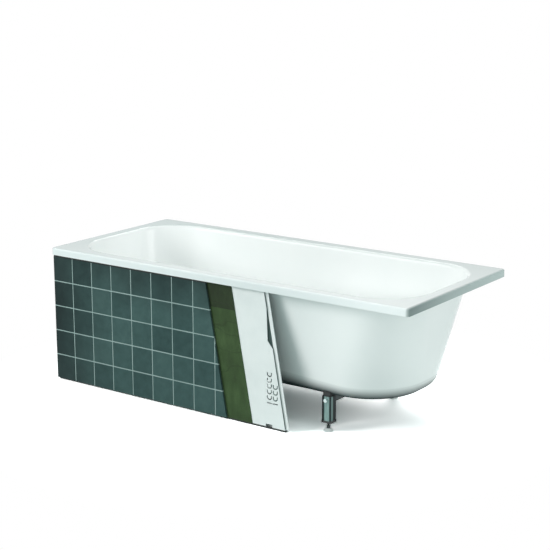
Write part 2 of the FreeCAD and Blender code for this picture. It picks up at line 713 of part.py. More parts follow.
def edge_profile():
    """The section that closes the cut end: a web, a flange behind the returns and a lip outwards."""
    web_front = board_face + EDGE_SETBACK
    outer = BOARD_LENGTH + EDGE_SHEET
    back = board_back + EDGE_SHEET
    web = cut_slab(outer, panel_left, panel_base, panel_top, web_front, back)
    web = web.cut(cut_slab(BOARD_LENGTH, panel_left, panel_base, panel_top, web_front, board_back))
    inner = cut_slab(BOARD_LENGTH - EDGE_FLANGE, panel_left, panel_base, panel_top, board_back, back)
    lip_back = web_front + EDGE_SHEET
    lip = cut_slab(BOARD_LENGTH + EDGE_LIP, panel_left, panel_base, panel_top, web_front, lip_back)
    lip = lip.cut(cut_slab(BOARD_LENGTH, panel_left, panel_base, panel_top, web_front, lip_back))
    return web.cut(inner).fuse(lip).removeSplitter()


def edge_gasket():
    """The rubber strip behind the edge profile, along the cut."""
    outer = BOARD_LENGTH + EDGE_SHEET
    front = board_back + EDGE_SHEET
    back = front + EDGE_GASKET_THICKNESS
    strip = cut_slab(outer, panel_left, panel_base, panel_top, front, back)
    return strip.cut(cut_slab(outer - EDGE_GASKET_WIDTH, panel_left, panel_base, panel_top, front, back))


def membrane():
    """The sealing sheet on the board."""
    return cut_slab(membrane_length, panel_left, panel_base, panel_top, membrane_face, board_face)


def sealing_tape():
    """The band stuck over the membrane's top, under the rim."""
    low = panel_top - SEALING_TAPE_WIDTH
    front = membrane_face - SEALING_TAPE_THICKNESS
    return cut_slab(membrane_length, panel_left, low, panel_top, front, membrane_face)


def tile_adhesive():
    """The bed that the tiles are set in, thinner over the sealing tape."""
    bed = cut_slab(tiled_length, panel_left, panel_base, tile_top, tile_back, membrane_face)
    return bed.cut(sealing_tape())


def tile_places():
    """The lower left corner of each tile that starts before the cut."""
    pitch = TILE_SIDE + TILE_JOINT
    rows = math.ceil((tile_top - panel_base) / pitch)
    for row in range(rows):
        low = panel_base + row * pitch
        columns = math.ceil((cut_x(tiled_length, low) - panel_left) / pitch)
        for column in range(columns):
            yield panel_left + column * pitch, low


def wall_tiles():
    """Square tiles with bevelled edges, those at the cut trimmed by it."""
    field = cut_slab(tiled_length, panel_left, panel_base, tile_top, tile_face, tile_back)
    tiles = []
    for left, low in tile_places():
        tile = block(V(left, tile_face, low), V(left + TILE_SIDE, tile_back, low + TILE_SIDE))
        rim = [edge for edge in tile.Edges if edge.BoundBox.YMax < tile_face + RUNNING_CLEARANCE]
        tiles.append(tile.makeChamfer(TILE_BEVEL, rim).common(field))
    return [tile for tile in tiles if tile.Solids]


def tile_grout():
    """The grout in the joints, set back from the tiles' faces."""
    front = tile_face + GROUT_RECESS
    grout = cut_slab(tiled_length, panel_left, panel_base, tile_top, front, tile_back)
    pockets = [block(V(left, front - CUT_OVERRUN, low), V(left + TILE_SIDE, tile_back, low + TILE_SIDE))
               for left, low in tile_places()]
    return grout.cut(pockets)


def rim_seal():
    """The seal over the tiles, tucked up behind the lip."""
    front = tile_face + SEAL_RECESS
    lip_back = lip_face + SHEET
    tuck_left = -RIM_LENGTH / 2 + RIM_CORNER_RADIUS
    below = cut_slab(tiled_length, panel_left, tile_top, lip_bottom, front, tile_back)
    tuck_top = lip_bottom + SEAL_TUCK
    return below.fuse(cut_slab(tiled_length, tuck_left, lip_bottom, tuck_top, lip_back, tile_back))


def floor_strip():
    """The rubber strip between the front and the floor."""
    return cut_slab(BOARD_LENGTH, panel_left, 0, panel_base, tile_face + FLOOR_STRIP_RECESS, board_back)


def rim_brackets():
    """C-shaped brackets on the board's top edge that steady the rim, and their screws."""
    brackets, screws = [], []
    front = board_face + PANEL_SHEET
    high = RIM_TOP - SHEET - CLEARANCE
    for share in RIM_BRACKET_SHARES:
        middle = panel_left + share * BOARD_LENGTH
        left = middle - RIM_BRACKET_WIDTH / 2
        right = middle + RIM_BRACKET_WIDTH / 2
        bracket = block(V(left, front, panel_top), V(right, board_back, high))
        mouth_low = V(left, front, panel_top + RIM_BRACKET_SHEET)
        mouth_high = V(right, board_back - RIM_BRACKET_SHEET, high - RIM_BRACKET_SHEET)
        seat = V(middle, (front + board_back) / 2, panel_top + RIM_BRACKET_SHEET)
        hole = rod(SCREW_RADIUS + RUNNING_CLEARANCE, seat, V(middle, seat.y, panel_top))
        brackets.append(bracket.cut(block(mouth_low, mouth_high)).cut(hole))
        screws.append(screw(seat, V(0, 0, -1), RIM_BRACKET_SHEET + PANEL_SHEET))
    return brackets, screws


def floor_angles():
    """Angles behind the board's foot, with a hole to the floor, and the screws into the board."""
    angles, screws = [], []
    for share in FLOOR_ANGLE_SHARES:
        middle = panel_left + share * BOARD_LENGTH
        left = middle - FLOOR_ANGLE_WIDTH / 2
        right = middle + FLOOR_ANGLE_WIDTH / 2
        upright_back = board_back + FLOOR_ANGLE_SHEET
        reach = board_back + FLOOR_ANGLE_REACH
        high = panel_base + PANEL_RETURN
        angle = block(V(left, board_back, 0), V(right, reach, high))
        angle = angle.cut(block(V(left, upright_back, FLOOR_ANGLE_SHEET), V(right, reach, high)))
        floor_hole = V(middle, (upright_back + reach) / 2, 0)
        angle = angle.cut(rod(FLOOR_HOLE_RADIUS, floor_hole, floor_hole.add(V(0, 0, FLOOR_ANGLE_SHEET))))
        seat = V(middle, upright_back, panel_base + PANEL_RETURN / 2)
        angle = angle.cut(rod(SCREW_RADIUS + RUNNING_CLEARANCE, seat, V(middle, board_back, seat.z)))
        angles.append(angle)
        screws.append(screw(seat, V(0, -1, 0), FLOOR_ANGLE_SHEET + PANEL_SHEET))
    return angles, screws


def screw_holes(screws):
    """Clearance holes for screws in the sheet that they enter."""
    return [rod(SCREW_RADIUS + RUNNING_CLEARANCE, *shank_ends(piece)) for piece in screws]


def shank_ends(piece):
    """The two ends of a screw's axis."""
    middle = piece.BoundBox.Center
    half = V(0, 0, piece.BoundBox.ZLength / 2)
    if piece.BoundBox.YLength > piece.BoundBox.ZLength:
        half = V(0, piece.BoundBox.YLength / 2, 0)
    return middle.sub(half), middle.add(half)


# Waste and plug

def at_drain(shape):
    """Put a piece turned about Z on the drain's axis."""
    return shape.translated(V(drain_x, 0, 0))


def waste_flange():
    """The flange in the dish, its tube through the drain and the guide for the plug's stem."""
    bore = WASTE_TUBE_RADIUS - WASTE_TUBE_WALL
    seat = flange_top - FLANGE_THICKNESS
    flange = turned(((bore, guide_bottom), (WASTE_TUBE_RADIUS, guide_bottom),
                     (WASTE_TUBE_RADIUS, seat), (FLANGE_RADIUS, seat),
                     (FLANGE_RADIUS - FLANGE_THICKNESS, flange_top), (bore, flange_top)))
    low = V(0, 0, guide_bottom)
    high = V(0, 0, guide_bottom + GUIDE_HEIGHT)
    reach = bore + WASTE_TUBE_WALL / 2
    half_bar = GUIDE_BAR_WIDTH / 2
    along = block(V(-reach, -half_bar, low.z), V(reach, half_bar, high.z))
    across = block(V(-half_bar, -reach, low.z), V(half_bar, reach, high.z))
    flange = flange.fuse([along, across, rod(GUIDE_HUB_RADIUS, low, high)])
    return at_drain(flange.cut(rod(PLUG_STEM_RADIUS + RUNNING_CLEARANCE, low, high)))


def waste_seals():
    """The thin seal under the flange and the gasket under the basin."""
    inner = DRAIN_HOLE_RADIUS
    flange_seat = V(0, 0, sump_top + FLANGE_SEAL_THICKNESS)
    upper = ring(inner, FLANGE_RADIUS - FLANGE_THICKNESS, V(0, 0, sump_top), flange_seat)
    lower = ring(inner, WASTE_FLANGE_RADIUS - FLANGE_THICKNESS, V(0, 0, waste_top), V(0, 0, sump_underside))
    return at_drain(upper), at_drain(lower)


def waste_body():
    """The cup under the drain, with a socket for the overflow's pipe and a spigot for the trap."""
    bore = WASTE_TUBE_RADIUS + CLEARANCE
    outer = bore + WASTE_BODY_WALL
    spigot_bore = TRAP_RADIUS - TRAP_WALL
    neck = waste_top - WASTE_FLANGE_THICKNESS
    inside_floor = waste_bottom + WASTE_BODY_FLOOR
    collar = TRAP_RADIUS + UNION_COLLAR
    body = turned(((0, trap_joint_height), (collar, trap_joint_height), (collar, waste_bottom),
                   (outer, waste_bottom), (outer, neck), (WASTE_FLANGE_RADIUS, neck),
                   (WASTE_FLANGE_RADIUS, waste_top), (0, waste_top)))
    mouth, seat, inside = [point.sub(V(drain_x, 0, 0)) for point in waste_inlet()]
    socket_bore = OVERFLOW_PIPE_RADIUS + RUNNING_CLEARANCE
    body = body.fuse(rod(socket_bore + SOCKET_WALL, mouth, inside))
    body = body.cut(block(V(-WASTE_FLANGE_RADIUS - SOCKET_LENGTH, -WASTE_FLANGE_RADIUS, waste_top),
                          V(WASTE_FLANGE_RADIUS, WASTE_FLANGE_RADIUS, waste_top + WASTE_BODY_DEPTH)))
    body = body.cut(rod(bore, V(0, 0, inside_floor), V(0, 0, waste_top)))
    body = body.cut(rod(spigot_bore, V(0, 0, trap_joint_height), V(0, 0, inside_floor)))
    body = body.cut(rod(OVERFLOW_PIPE_RADIUS - OVERFLOW_PIPE_WALL, mouth, inside))
    return at_drain(body.cut(rod(socket_bore, mouth, seat)))


def waste_inlet():
    """Points along the socket for the overflow's pipe: its mouth, its seat and the cup's inside."""
    outer = WASTE_TUBE_RADIUS + CLEARANCE + WASTE_BODY_WALL
    seat = V(drain_x - outer, 0, waste_inlet_height)
    return seat.sub(V(SOCKET_DEPTH, 0, 0)), seat, V(drain_x, 0, waste_inlet_height)


def trap_points():
    """The trap's path: down from the waste, round, up, and away to the wall behind."""
    low = TRAP_FLOOR_GAP + TRAP_RADIUS
    out = 2 * TRAP_BEND_RADIUS
    outlet_height = low + 2 * TRAP_BEND_RADIUS + TRAP_RISE
    end_y = out + TRAP_BEND_RADIUS + TRAP_RUN
    return (V(drain_x, 0, trap_joint_height), V(drain_x, 0, low), V(drain_x, out, low),
            V(drain_x, out, outlet_height), V(drain_x, end_y, outlet_height))


def trap():
    """The bent pipe that holds the water seal, with a thread at each end."""
    points = trap_points()
    pipe = bent_tube(points, TRAP_BEND_RADIUS, TRAP_RADIUS, TRAP_WALL)
    return pipe.fuse([union_collar(points[0], V(0, 0, -1)), union_collar(points[-1], V(0, -1, 0))])


def union_collar(joint, way):
    """The thicker end of a pipe under a union nut, reaching the given way from the joint."""
    return ring(TRAP_RADIUS, TRAP_RADIUS + UNION_COLLAR, joint, joint.add(way * (UNION_LENGTH / 2)))


def outlet_pipe():
    """The straight pipe from the trap to the wall."""
    start = trap_points()[-1]
    end = start.add(V(0, OUTLET_LENGTH, 0))
    return ring(TRAP_RADIUS - TRAP_WALL, TRAP_RADIUS, start, end).fuse(union_collar(start, V(0, 1, 0)))


def union_nuts():
    """The two nuts over the trap's joints."""
    nuts = []
    for joint, way in ((trap_points()[0], UP), (trap_points()[-1], V(0, 1, 0))):
        start = joint.sub(way * (UNION_LENGTH / 2))
        end = joint.add(way * (UNION_LENGTH / 2))
        nut = prism(UNION_SIDES, 2 * UNION_RADIUS, start, end)
        nuts.append(nut.cut(rod(TRAP_RADIUS + UNION_COLLAR + RUNNING_CLEARANCE, start, end)))
    return nuts


def plug():
    """A domed plug with a stem, and the seal in its groove."""
    underside = flange_top + CLEARANCE + PLUG_SEAL_HEIGHT - PLUG_SEAL_GROOVE
    edge_top = underside + PLUG_EDGE_HEIGHT
    seal_inner = PLUG_SEAL_RADIUS - PLUG_SEAL_WIDTH
    stem_end = guide_bottom - PLUG_STEM_TAIL
    disc = turned(((0, underside), (PLUG_RADIUS, underside), (PLUG_RADIUS, edge_top), (0, edge_top)))
    dome_radius = (PLUG_RADIUS ** 2 + PLUG_CROWN_HEIGHT ** 2) / (2 * PLUG_CROWN_HEIGHT)
    ball = Part.makeSphere(dome_radius, V(0, 0, edge_top + PLUG_CROWN_HEIGHT - dome_radius))
    over_edge = rod(PLUG_RADIUS, V(0, 0, edge_top), V(0, 0, edge_top + PLUG_CROWN_HEIGHT))
    body = disc.fuse([ball.common(over_edge), rod(PLUG_STEM_RADIUS, V(0, 0, stem_end), V(0, 0, underside))])
    groove_top = V(0, 0, underside + PLUG_SEAL_GROOVE)
    body = body.removeSplitter().cut(ring(seal_inner, PLUG_SEAL_RADIUS, V(0, 0, underside), groove_top))
    seal = ring(seal_inner, PLUG_SEAL_RADIUS, V(0, 0, flange_top + CLEARANCE), groove_top)
    return at_drain(body), at_drain(seal)


# Overflow

def overflow_inside():
    """The wall's inner face, measured square to the wall."""
    return SHEET * math.cos(lean_angle)


def overflow_flange():
    """The flange inside the basin, its tube through the wall and the bearing for the knob."""
    bore = OVERFLOW_TUBE_RADIUS - OVERFLOW_TUBE_WALL
    seat = overflow_inside() + OVERFLOW_SEAL_THICKNESS
    face = seat + OVERFLOW_FLANGE_THICKNESS
    tail = seat - OVERFLOW_TUBE_LENGTH
    flange = turned(((bore, tail), (OVERFLOW_TUBE_RADIUS, tail), (OVERFLOW_TUBE_RADIUS, seat),
                     (OVERFLOW_FLANGE_RADIUS, seat), (OVERFLOW_FLANGE_RADIUS, face), (bore, face)))
    reach = bore + OVERFLOW_TUBE_WALL / 2
    half_bar = GUIDE_BAR_WIDTH / 2
    along = block(V(-reach, -half_bar, seat), V(reach, half_bar, face))
    across = block(V(-half_bar, -reach, seat), V(half_bar, reach, face))
    hub = rod(KNOB_SHAFT_RADIUS + OVERFLOW_TUBE_WALL, V(0, 0, seat), V(0, 0, face))
    shaft_hole = rod(KNOB_SHAFT_RADIUS + RUNNING_CLEARANCE, V(0, 0, seat), V(0, 0, face))
    return on_end_wall(flange.fuse([along, across, hub]).cut(shaft_hole))


def overflow_seals():
    """The thin seal under the flange and the gasket outside the wall."""
    inside = overflow_inside()
    inner_seal = ring(OVERFLOW_HOLE_RADIUS, OVERFLOW_FLANGE_RADIUS, V(0, 0, inside),
                      V(0, 0, inside + OVERFLOW_SEAL_THICKNESS))
    gasket = ring(OVERFLOW_HOLE_RADIUS, OVERFLOW_CUP_RADIUS, V(0, 0, -OVERFLOW_GASKET_THICKNESS), ORIGIN)
    return on_end_wall(inner_seal), on_end_wall(gasket)


def overflow_pipe_axis():
    """The point inside the cup that the overflow's pipe comes down from."""
    depth = OVERFLOW_GASKET_THICKNESS + OVERFLOW_CUP_DEPTH * OVERFLOW_PIPE_SHARE
    return on_end_wall(Part.Vertex(V(0, 0, -depth))).BoundBox.Center


def overflow_body():
    """The cup outside the wall, with a socket pointing down for the pipe."""
    rim = -OVERFLOW_GASKET_THICKNESS
    end = rim - OVERFLOW_CUP_DEPTH
    cup = on_end_wall(rod(OVERFLOW_CUP_RADIUS, V(0, 0, end), V(0, 0, rim)))
    bore = OVERFLOW_CUP_RADIUS - OVERFLOW_CUP_WALL
    room = on_end_wall(rod(bore, V(0, 0, end + OVERFLOW_CUP_WALL), V(0, 0, rim)))
    top = overflow_pipe_axis()
    mouth = top.sub(V(0, 0, SOCKET_LENGTH))
    socket_bore = OVERFLOW_PIPE_RADIUS + RUNNING_CLEARANCE
    body = cup.fuse(rod(socket_bore + SOCKET_WALL, mouth, top)).cut(room)
    passage = rod(OVERFLOW_PIPE_RADIUS - OVERFLOW_PIPE_WALL, mouth, top)
    return body.cut(passage).cut(rod(socket_bore, mouth, mouth.add(V(0, 0, SOCKET_DEPTH))))


def overflow_pipe():
    """The pipe from the cup down and along to the waste."""
    top = overflow_pipe_axis().sub(V(0, 0, SOCKET_LENGTH - SOCKET_DEPTH))
    seat = waste_inlet()[1]
    points = (top, V(top.x, 0, seat.z), seat)
    return bent_tube(points, OVERFLOW_BEND_RADIUS, OVERFLOW_PIPE_RADIUS, OVERFLOW_PIPE_WALL)


def overflow_knob():
    """A round knob with two flats for the fingers, on a shaft."""
    face = overflow_inside() + OVERFLOW_SEAL_THICKNESS + OVERFLOW_FLANGE_THICKNESS
    low = face + KNOB_GAP
    high = low + KNOB_HEIGHT
    knob = rod(KNOB_RADIUS, V(0, 0, low), V(0, 0, high))
    flat = KNOB_RADIUS * KNOB_FLAT_SHARE
    knob = knob.common(block(V(-KNOB_RADIUS, -flat, low), V(KNOB_RADIUS, flat, high)))
    knob = knob.makeFillet(KNOB_EDGE_RADIUS, level_edges(knob, high, RIM_LENGTH, RIM_WIDTH))
    tail = face - OVERFLOW_FLANGE_THICKNESS - KNOB_SHAFT_TAIL
    return on_end_wall(knob.fuse(rod(KNOB_SHAFT_RADIUS, V(0, 0, tail), V(0, 0, low))))


def save_tub():
    save("tub_shell", tub_shell())
    save("sound_mats", *sound_mats())
    tab, lug_bolt, lug_nut = earthing_lug()
    save("earth_lug", tab)
    save("earth_fasteners", lug_bolt, lug_nut)


def save_supports():
    rail = cross_rail()
    save("rail_head", rail.translated(V(rail_x, 0, 0)))
    save("rail_foot", rail.translated(V(-rail_x, 0, 0)))
    pads, studs, nuts = rail_fixings()
    save("rail_pads", *pads)
    save("rail_studs", *studs)
    save("rail_nuts", *nuts)
    save("rail_saddles", *at_legs(rail_saddle()).values())
    leg_bolt, leg_bolt_nut = leg_bolts()
    save("leg_bolts", *at_legs(leg_bolt).values())
    save("leg_bolt_nuts", *at_legs(leg_bolt_nut).values())
    save("leg_nuts", *at_legs(leg_nut()).values())
    save("leg_soles", *at_legs(leg_sole()).values())
    for node, piece in (("leg", leg_channel()), ("foot_spindle", foot_spindle()), ("foot_pad", foot_pad())):
        for name, placed in at_legs(piece).items():
            save(node + "_" + name, placed)


def save_front():
    brackets, bracket_screws = rim_brackets()
    angles, angle_screws = floor_angles()
    save("front_board", front_board().cut(screw_holes(bracket_screws + angle_screws)))
    save("edge_profile", edge_profile())
    save("edge_gasket", edge_gasket())
    save("membrane", membrane())
    save("sealing_tape", sealing_tape())
    save("tile_adhesive", tile_adhesive())
    save("wall_tiles", *wall_tiles())
    save("tile_grout", tile_grout())
    save("rim_seal", rim_seal())
    save("floor_strip", floor_strip())
    save("rim_brackets", *brackets)
    save("rim_bracket_screws", *bracket_screws)
    save("floor_angles", *angles)
    save("floor_angle_screws", *angle_screws)


def save_waste():
    save("waste_flange", waste_flange())
    upper_seal, lower_gasket = waste_seals()
    save("waste_flange_seal", upper_seal)
    save("waste_gasket", lower_gasket)
    save("waste_body", waste_body())
    save("trap", trap())
    save("outlet_pipe", outlet_pipe())
    save("union_nuts", *union_nuts())
    plug_body, plug_seal = plug()
    save("drain_plug", plug_body)
    save("plug_seal", plug_seal)


def save_overflow():
    save("overflow_flange", overflow_flange())
    inner_seal, gasket = overflow_seals()
    save("overflow_seal", inner_seal)
    save("overflow_gasket", gasket)
    save("overflow_body", overflow_body())
    save("overflow_pipe", overflow_pipe())
    save("overflow_knob", overflow_knob())


os.makedirs("parts", exist_ok=True)
save_tub()
save_supports()
save_front()
save_waste()
save_overflow()
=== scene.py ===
import json
import math

import bmesh
import bpy
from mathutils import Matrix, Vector


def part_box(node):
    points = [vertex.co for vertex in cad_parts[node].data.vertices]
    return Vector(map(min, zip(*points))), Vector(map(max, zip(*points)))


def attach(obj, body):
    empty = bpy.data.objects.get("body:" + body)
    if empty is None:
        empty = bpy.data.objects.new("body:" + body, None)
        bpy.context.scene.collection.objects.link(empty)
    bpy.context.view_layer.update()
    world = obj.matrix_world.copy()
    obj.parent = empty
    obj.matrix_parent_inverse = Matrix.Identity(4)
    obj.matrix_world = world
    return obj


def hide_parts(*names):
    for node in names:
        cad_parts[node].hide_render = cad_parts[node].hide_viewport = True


# The looks of the bathtub: a material for every CAD node, threaded foot spindles and a plain studio.
# Metres, in the CAD frame: +X towards the head end, -Y towards the tiled front, +Z up.

# Camera at the photo's viewing angle
CAMERA_PLACE = (3.0338909, -4.2307187, 1.7272375)
CAMERA_TILT = math.radians(76.404)
CAMERA_TURN = math.radians(35.48)
CAMERA_LENS = 92.98
CAMERA_SENSOR = 36.0

# Floor: the colour that lights the object, the brightness that shows, and the distances from the object's
# middle between which it runs out into plain white
FLOOR_SIZE = 30.0
FLOOR_COLOUR = (192, 210, 208)
FLOOR_SEEN = 2.7
FLOOR_NEAR = 0.45
FLOOR_FAR = 1.2

# Surround and light
WHITE = (1.0, 1.0, 1.0, 1.0)
SKY_COLOUR = (211, 238, 236)
SKY_STRENGTH = 0.39
LAMP_COLOUR = (1.0, 0.965, 0.965)

# Soft lamps: name, place, target, size, power
LAMPS = (
    ("key_lamp", (-4.2, -5.2, 3.4), (0.1, -0.2, 0.25), 3.4, 338.0),
    ("side_lamp", (4.2, 1.5, 1.3), (0.0, 0.0, 0.3), 2.0, 62.0),
    ("fill_lamp", (2.6, -4.4, 1.7), (0.0, 0.0, 0.3), 2.5, 5.0),
    ("back_lamp", (-1.6, 3.4, 3.9), (0.0, 0.2, 0.3), 2.5, 82.0),
)

# Spot lamps: name, place, target, cone, power
SPOT_LAMPS = (
    ("basin_foot_lamp", (1.0, -0.5, 1.5), (-0.74, 0.1, 0.46), math.radians(23), 64.0),
    ("rim_lamp", (0.5, -0.8, 2.4), (0.2, -0.32, 0.535), math.radians(60), 17.0),
    ("corner_lamp", (2.4, -3.4, 1.3), (0.68, -0.22, 0.36), math.radians(10.5), 220.0),
)
SPOT_LAMP_SIZE = 0.25
SPOT_LAMP_BLEND = 1.0

# Screen colours of 0 to 255, and the curve that makes them linear
SCREEN_FULL = 255
SCREEN_KNEE = 0.04045
SCREEN_SLOPE = 12.92
SCREEN_OFFSET = 0.055
SCREEN_POWER = 2.4

# Numbers of the Mix node's colour sockets
MIX_LOWER = 6
MIX_UPPER = 7
MIX_RESULT = 2

# In the materials below, a noise is its features a metre, its layers and their roughness. A bump is its depth
# in metres and its strength. Shades are stops of place and screen colour. A roughness is lowest and highest.
NOISE_MEAN = 0.5

# Tub, as in the CAD model
RIM_TOP = 0.535
RIM_HALF_LENGTH = 0.800
RIM_HALF_WIDTH = 0.350

# Enamel
ENAMEL_SHADES = ((0.3, (241, 244, 243)), (0.7, (246, 248, 247)))
ENAMEL_CLOUD = (4.0, 2.0, 0.5)
ENAMEL_CLOUD_SHARE = 0.8
ENAMEL_SPECK = (900.0, 2.0, 0.6)
ENAMEL_SPECK_SHARE = 0.2
ENAMEL_RIPPLE = (110.0, 2.0, 0.5)
ENAMEL_RIPPLE_BUMP = (0.00012, 0.35)
ENAMEL_SMEAR = (14.0, 3.0, 0.5)
ENAMEL_ROUGHNESS = (0.1, 0.16)
ENAMEL_GLOSS = 0.25

# Painted shade on the lip's sides and ends and on the flat rim: the side lip darker towards the rear, the end
# lips darker towards the front, the flat rim darker towards the rear and the foot end
LIP_FADE = 0.012
LIP_SIDE_PAINTED_SHADES = ((0.0, (238, 243, 243)), (1.0, (166, 180, 178)))
LIP_END_PAINTED_SHADES = ((0.0, (116, 133, 131)), (0.4, (168, 182, 180)), (1.0, (196, 208, 206)))
RIM_FADE = 0.002
RIM_PAINTED_SHADE = (194, 205, 204)
RIM_SHADE_SHARES = (0.05, 1.0)
RIM_SHADE_REARWARD_SHARE = 0.75
RIM_SHADE_HEADWARD_SHARE = 0.4

# Dark ground coat under the tub, partly real and partly painted shade: the white enamel fades into it along
# the tub's lower edge, reaching higher towards the foot end, where the board shades the tub
GROUND_COAT_AND_PAINTED_SHADES = ((0.35, (24, 37, 37)), (0.65, (44, 60, 60)))
GROUND_COAT_ROUGHER = 0.8
UNDERSIDE_HEIGHT = 0.141
UNDERSIDE_FADE = 0.045
UNDERSIDE_SPECK = 0.002
UNDERSIDE_RISE = 0.016
UNDERSIDE_RISE_START = 0.2
UNDERSIDE_RISE_END = 0.5
UNDERSIDE_FACING = 0.04

# Tiling, as in the CAD model
TILE_LEFT = -0.796
TILE_BASE = 0.008
TILE_PITCH = 0.099
TILE_SIDE = 0.095
TILE_TOP = 0.499

# Tile glaze
TILE_SHADES = ((0.25, (44, 68, 67)), (0.55, (62, 88, 86)), (0.85, (79, 106, 103)))
TILE_OWN_SHARE = 0.34
TILE_CLOUD = (26.0, 4.0, 0.6)
TILE_CLOUD_SHARE = 0.5
TILE_CLOUD_BUMP = (0.0004, 0.5)
TILE_SPECK = (1400.0, 2.0, 0.7)
TILE_SPECK_SHARE = 0.22
TILE_SPECK_BUMP = (0.00006, 0.4)
TILE_EDGE = (84, 110, 108)
TILE_EDGE_SHARE = 0.35
TILE_EDGE_WIDTH_SHARE = 0.03
TILE_SMEAR = (60.0, 3.0, 0.5)
TILE_ROUGHNESS = (0.38, 0.55)
TILE_GLOSS = 0.12

# Painted shade on the tiles, darker towards the foot end's corner and towards the top under the rim
TILE_PAINTED_SHADE = (12, 24, 25)
TILE_SHADE_CLOUD = (7.0, 2.0, 0.5)
TILE_SHADE_SWAY = 0.2
TILE_CORNER_SHADE_SHARE = 0.8
TILE_CORNER_SHADE_START = 0.02
TILE_CORNER_SHADE_REACH = 0.32
TILE_TOP_SHADE_SHARE = 0.55
TILE_TOP_SHADE_REACH = 0.17

# Grout
GROUT_SHADES = ((0.3, (138, 160, 157)), (0.5, (162, 183, 180)), (0.7, (180, 199, 196)))
GROUT_GRAIN = (1700.0, 3.0, 0.7)
GROUT_GRAIN_BUMP = (0.0003, 0.6)
GROUT_PATCH = (9.0, 3.0, 0.5)
GROUT_ROUGHNESS = (0.78, 0.95)

# Sealing membrane and tape: dark, middle and light
MEMBRANE_COLOURS = ((34, 52, 24), (50, 72, 38), (70, 94, 56))
TAPE_COLOURS = ((18, 30, 12), (28, 44, 20), (42, 60, 32))
GREEN_STOPS = (0.32, 0.5, 0.7)
GREEN_STROKE = (34.0, 4.0, 0.65)
GREEN_STROKE_STRETCH = (1.0, 1.0, 0.35)
GREEN_STROKE_SHARE = 0.45
GREEN_STROKE_BUMP = (0.0009, 0.5)
GREEN_STIPPLE = (420.0, 3.0, 0.6)
GREEN_STIPPLE_SHARE = 0.25
GREEN_STIPPLE_BUMP = (0.0005, 0.6)
GREEN_PATCH = (11.0, 3.0, 0.5)
GREEN_PATCH_SHARE = 0.3
GREEN_CREASE = (7.0, 2.0, 0.4)
GREEN_CREASE_STRETCH = (0.6, 1.0, 1.5)
GREEN_CREASE_LEVEL = 0.52
GREEN_CREASE_WIDTH = 0.014
# Share of painted shade in the creases
GREEN_CREASE_SHADE_SHARE = 0.6
GREEN_CREASE_BUMP = (0.0012, 0.6)
GREEN_ROUGHNESS = (0.55, 0.8)
GREEN_GLOSS = 0.25

# Tile adhesive
ADHESIVE_SHADES = ((0.3, (54, 60, 58)), (0.7, (84, 92, 89)))
ADHESIVE_COMB = (160.0, 2.0, 0.5)
ADHESIVE_COMB_STRETCH = (0.1, 1.0, 1.0)
ADHESIVE_COMB_BUMP = (0.0008, 0.6)
ADHESIVE_GRAIN = (1500.0, 3.0, 0.7)
ADHESIVE_ROUGHNESS = (0.8, 0.95)

# Board, and the depths behind its face at which its coat gives way to the primer, a grey that also stands as
# painted shade where it shows through the vents and the notch
BOARD_SHADES = ((0.3, (236, 240, 239)), (0.6, (244, 247, 246)), (0.8, (248, 250, 250)))
BOARD_PEEL = (620.0, 2.0, 0.5)
BOARD_PEEL_BUMP = (0.0001, 0.5)
BOARD_MARK = (7.0, 5.0, 0.65)
BOARD_ROUGHNESS = (0.32, 0.5)
PRIMER_AND_PAINTED_SHADES = ((0.3, (122, 142, 139)), (0.7, (144, 163, 160)))
PRIMER_START = 0.0095
PRIMER_FULL = 0.0105

# Plated metals: dark, light, roughness
ZINC = ((150, 162, 162), (206, 214, 213), (0.22, 0.42))
DARK_STEEL = ((40, 46, 46), (74, 82, 81), (0.28, 0.45))
PLATED_STOPS = (0.2, 0.8)
PLATED_SPANGLES = 190.0
PLATED_SPANGLE_SHARE = 0.4
PLATED_STREAK = (240.0, 3.0, 0.6)
PLATED_STREAK_STRETCH = (1.0, 1.0, 0.08)
PLATED_STREAK_SHARE = 0.6
PLATED_STREAK_BUMP = (0.0001, 0.3)

# Legs, as in the CAD model
LEG_X = 0.412
LEG_Y = 0.225
LEG_HALF_WIDTH = 0.020
LEG_HALF_DEPTH = 0.018

# Leg steel, and the shares of the leg's half width and depth between which its painted shade fades
LEG_SHADES = ((0.3, (84, 108, 106)), (0.7, (124, 148, 145)))
LEG_STREAK = (300.0, 3.0, 0.6)
LEG_STREAK_STRETCH = (1.0, 1.0, 0.05)
LEG_STREAK_BUMP = (0.0001, 0.3)
LEG_PAINTED_SHADE = (14, 26, 26)
LEG_SHADE_SWAY = 0.3
LEG_BEND_SHARES = (0.6, 0.8)
LEG_WEB_SHARES = (-0.4, -0.25)
LEG_INNER_SHARES = (0.05, 0.3)
LEG_METAL = 0.7
LEG_ROUGHNESS = (0.3, 0.5)

# Moulded plastics and rubber: dark, light, grains a metre, depth of grain, roughness
BLACK_RUBBER = ((22, 25, 25), (44, 48, 47), 1300.0, 0.00012, (0.6, 0.85))
BLACK_PLASTIC = ((26, 29, 29), (42, 46, 46), 1700.0, 0.00006, (0.4, 0.6))
WHITE_PLASTIC = ((224, 231, 230), (240, 244, 243), 1500.0, 0.00005, (0.3, 0.48))
GREY_PLASTIC = ((128, 136, 136), (152, 160, 160), 1500.0, 0.00005, (0.35, 0.5))
MOULDED_STOPS = (0.3, 0.7)
MOULDED_LAYERS = 3.0
MOULDED_GRAIN_ROUGHNESS = 0.6
MOULDED_GRAIN_STRENGTH = 0.6
MOULDED_FLOW = (40.0, 3.0, 0.5)

# Sound mat
MAT_SHADES = ((0.2, (20, 21, 21)), (0.8, (46, 48, 47)))
MAT_KNOBS = 160.0
MAT_KNOB_BUMP = (0.0008, 0.8)
MAT_GRAIN = (1200.0, 3.0, 0.7)
MAT_ROUGHNESS = (0.7, 0.92)

# Chrome
CHROME_SHADES = ((0.3, (208, 214, 214)), (0.7, (226, 231, 231)))
CHROME_SPOT = (70.0, 4.0, 0.6)
CHROME_ROUGHNESS = (0.04, 0.14)

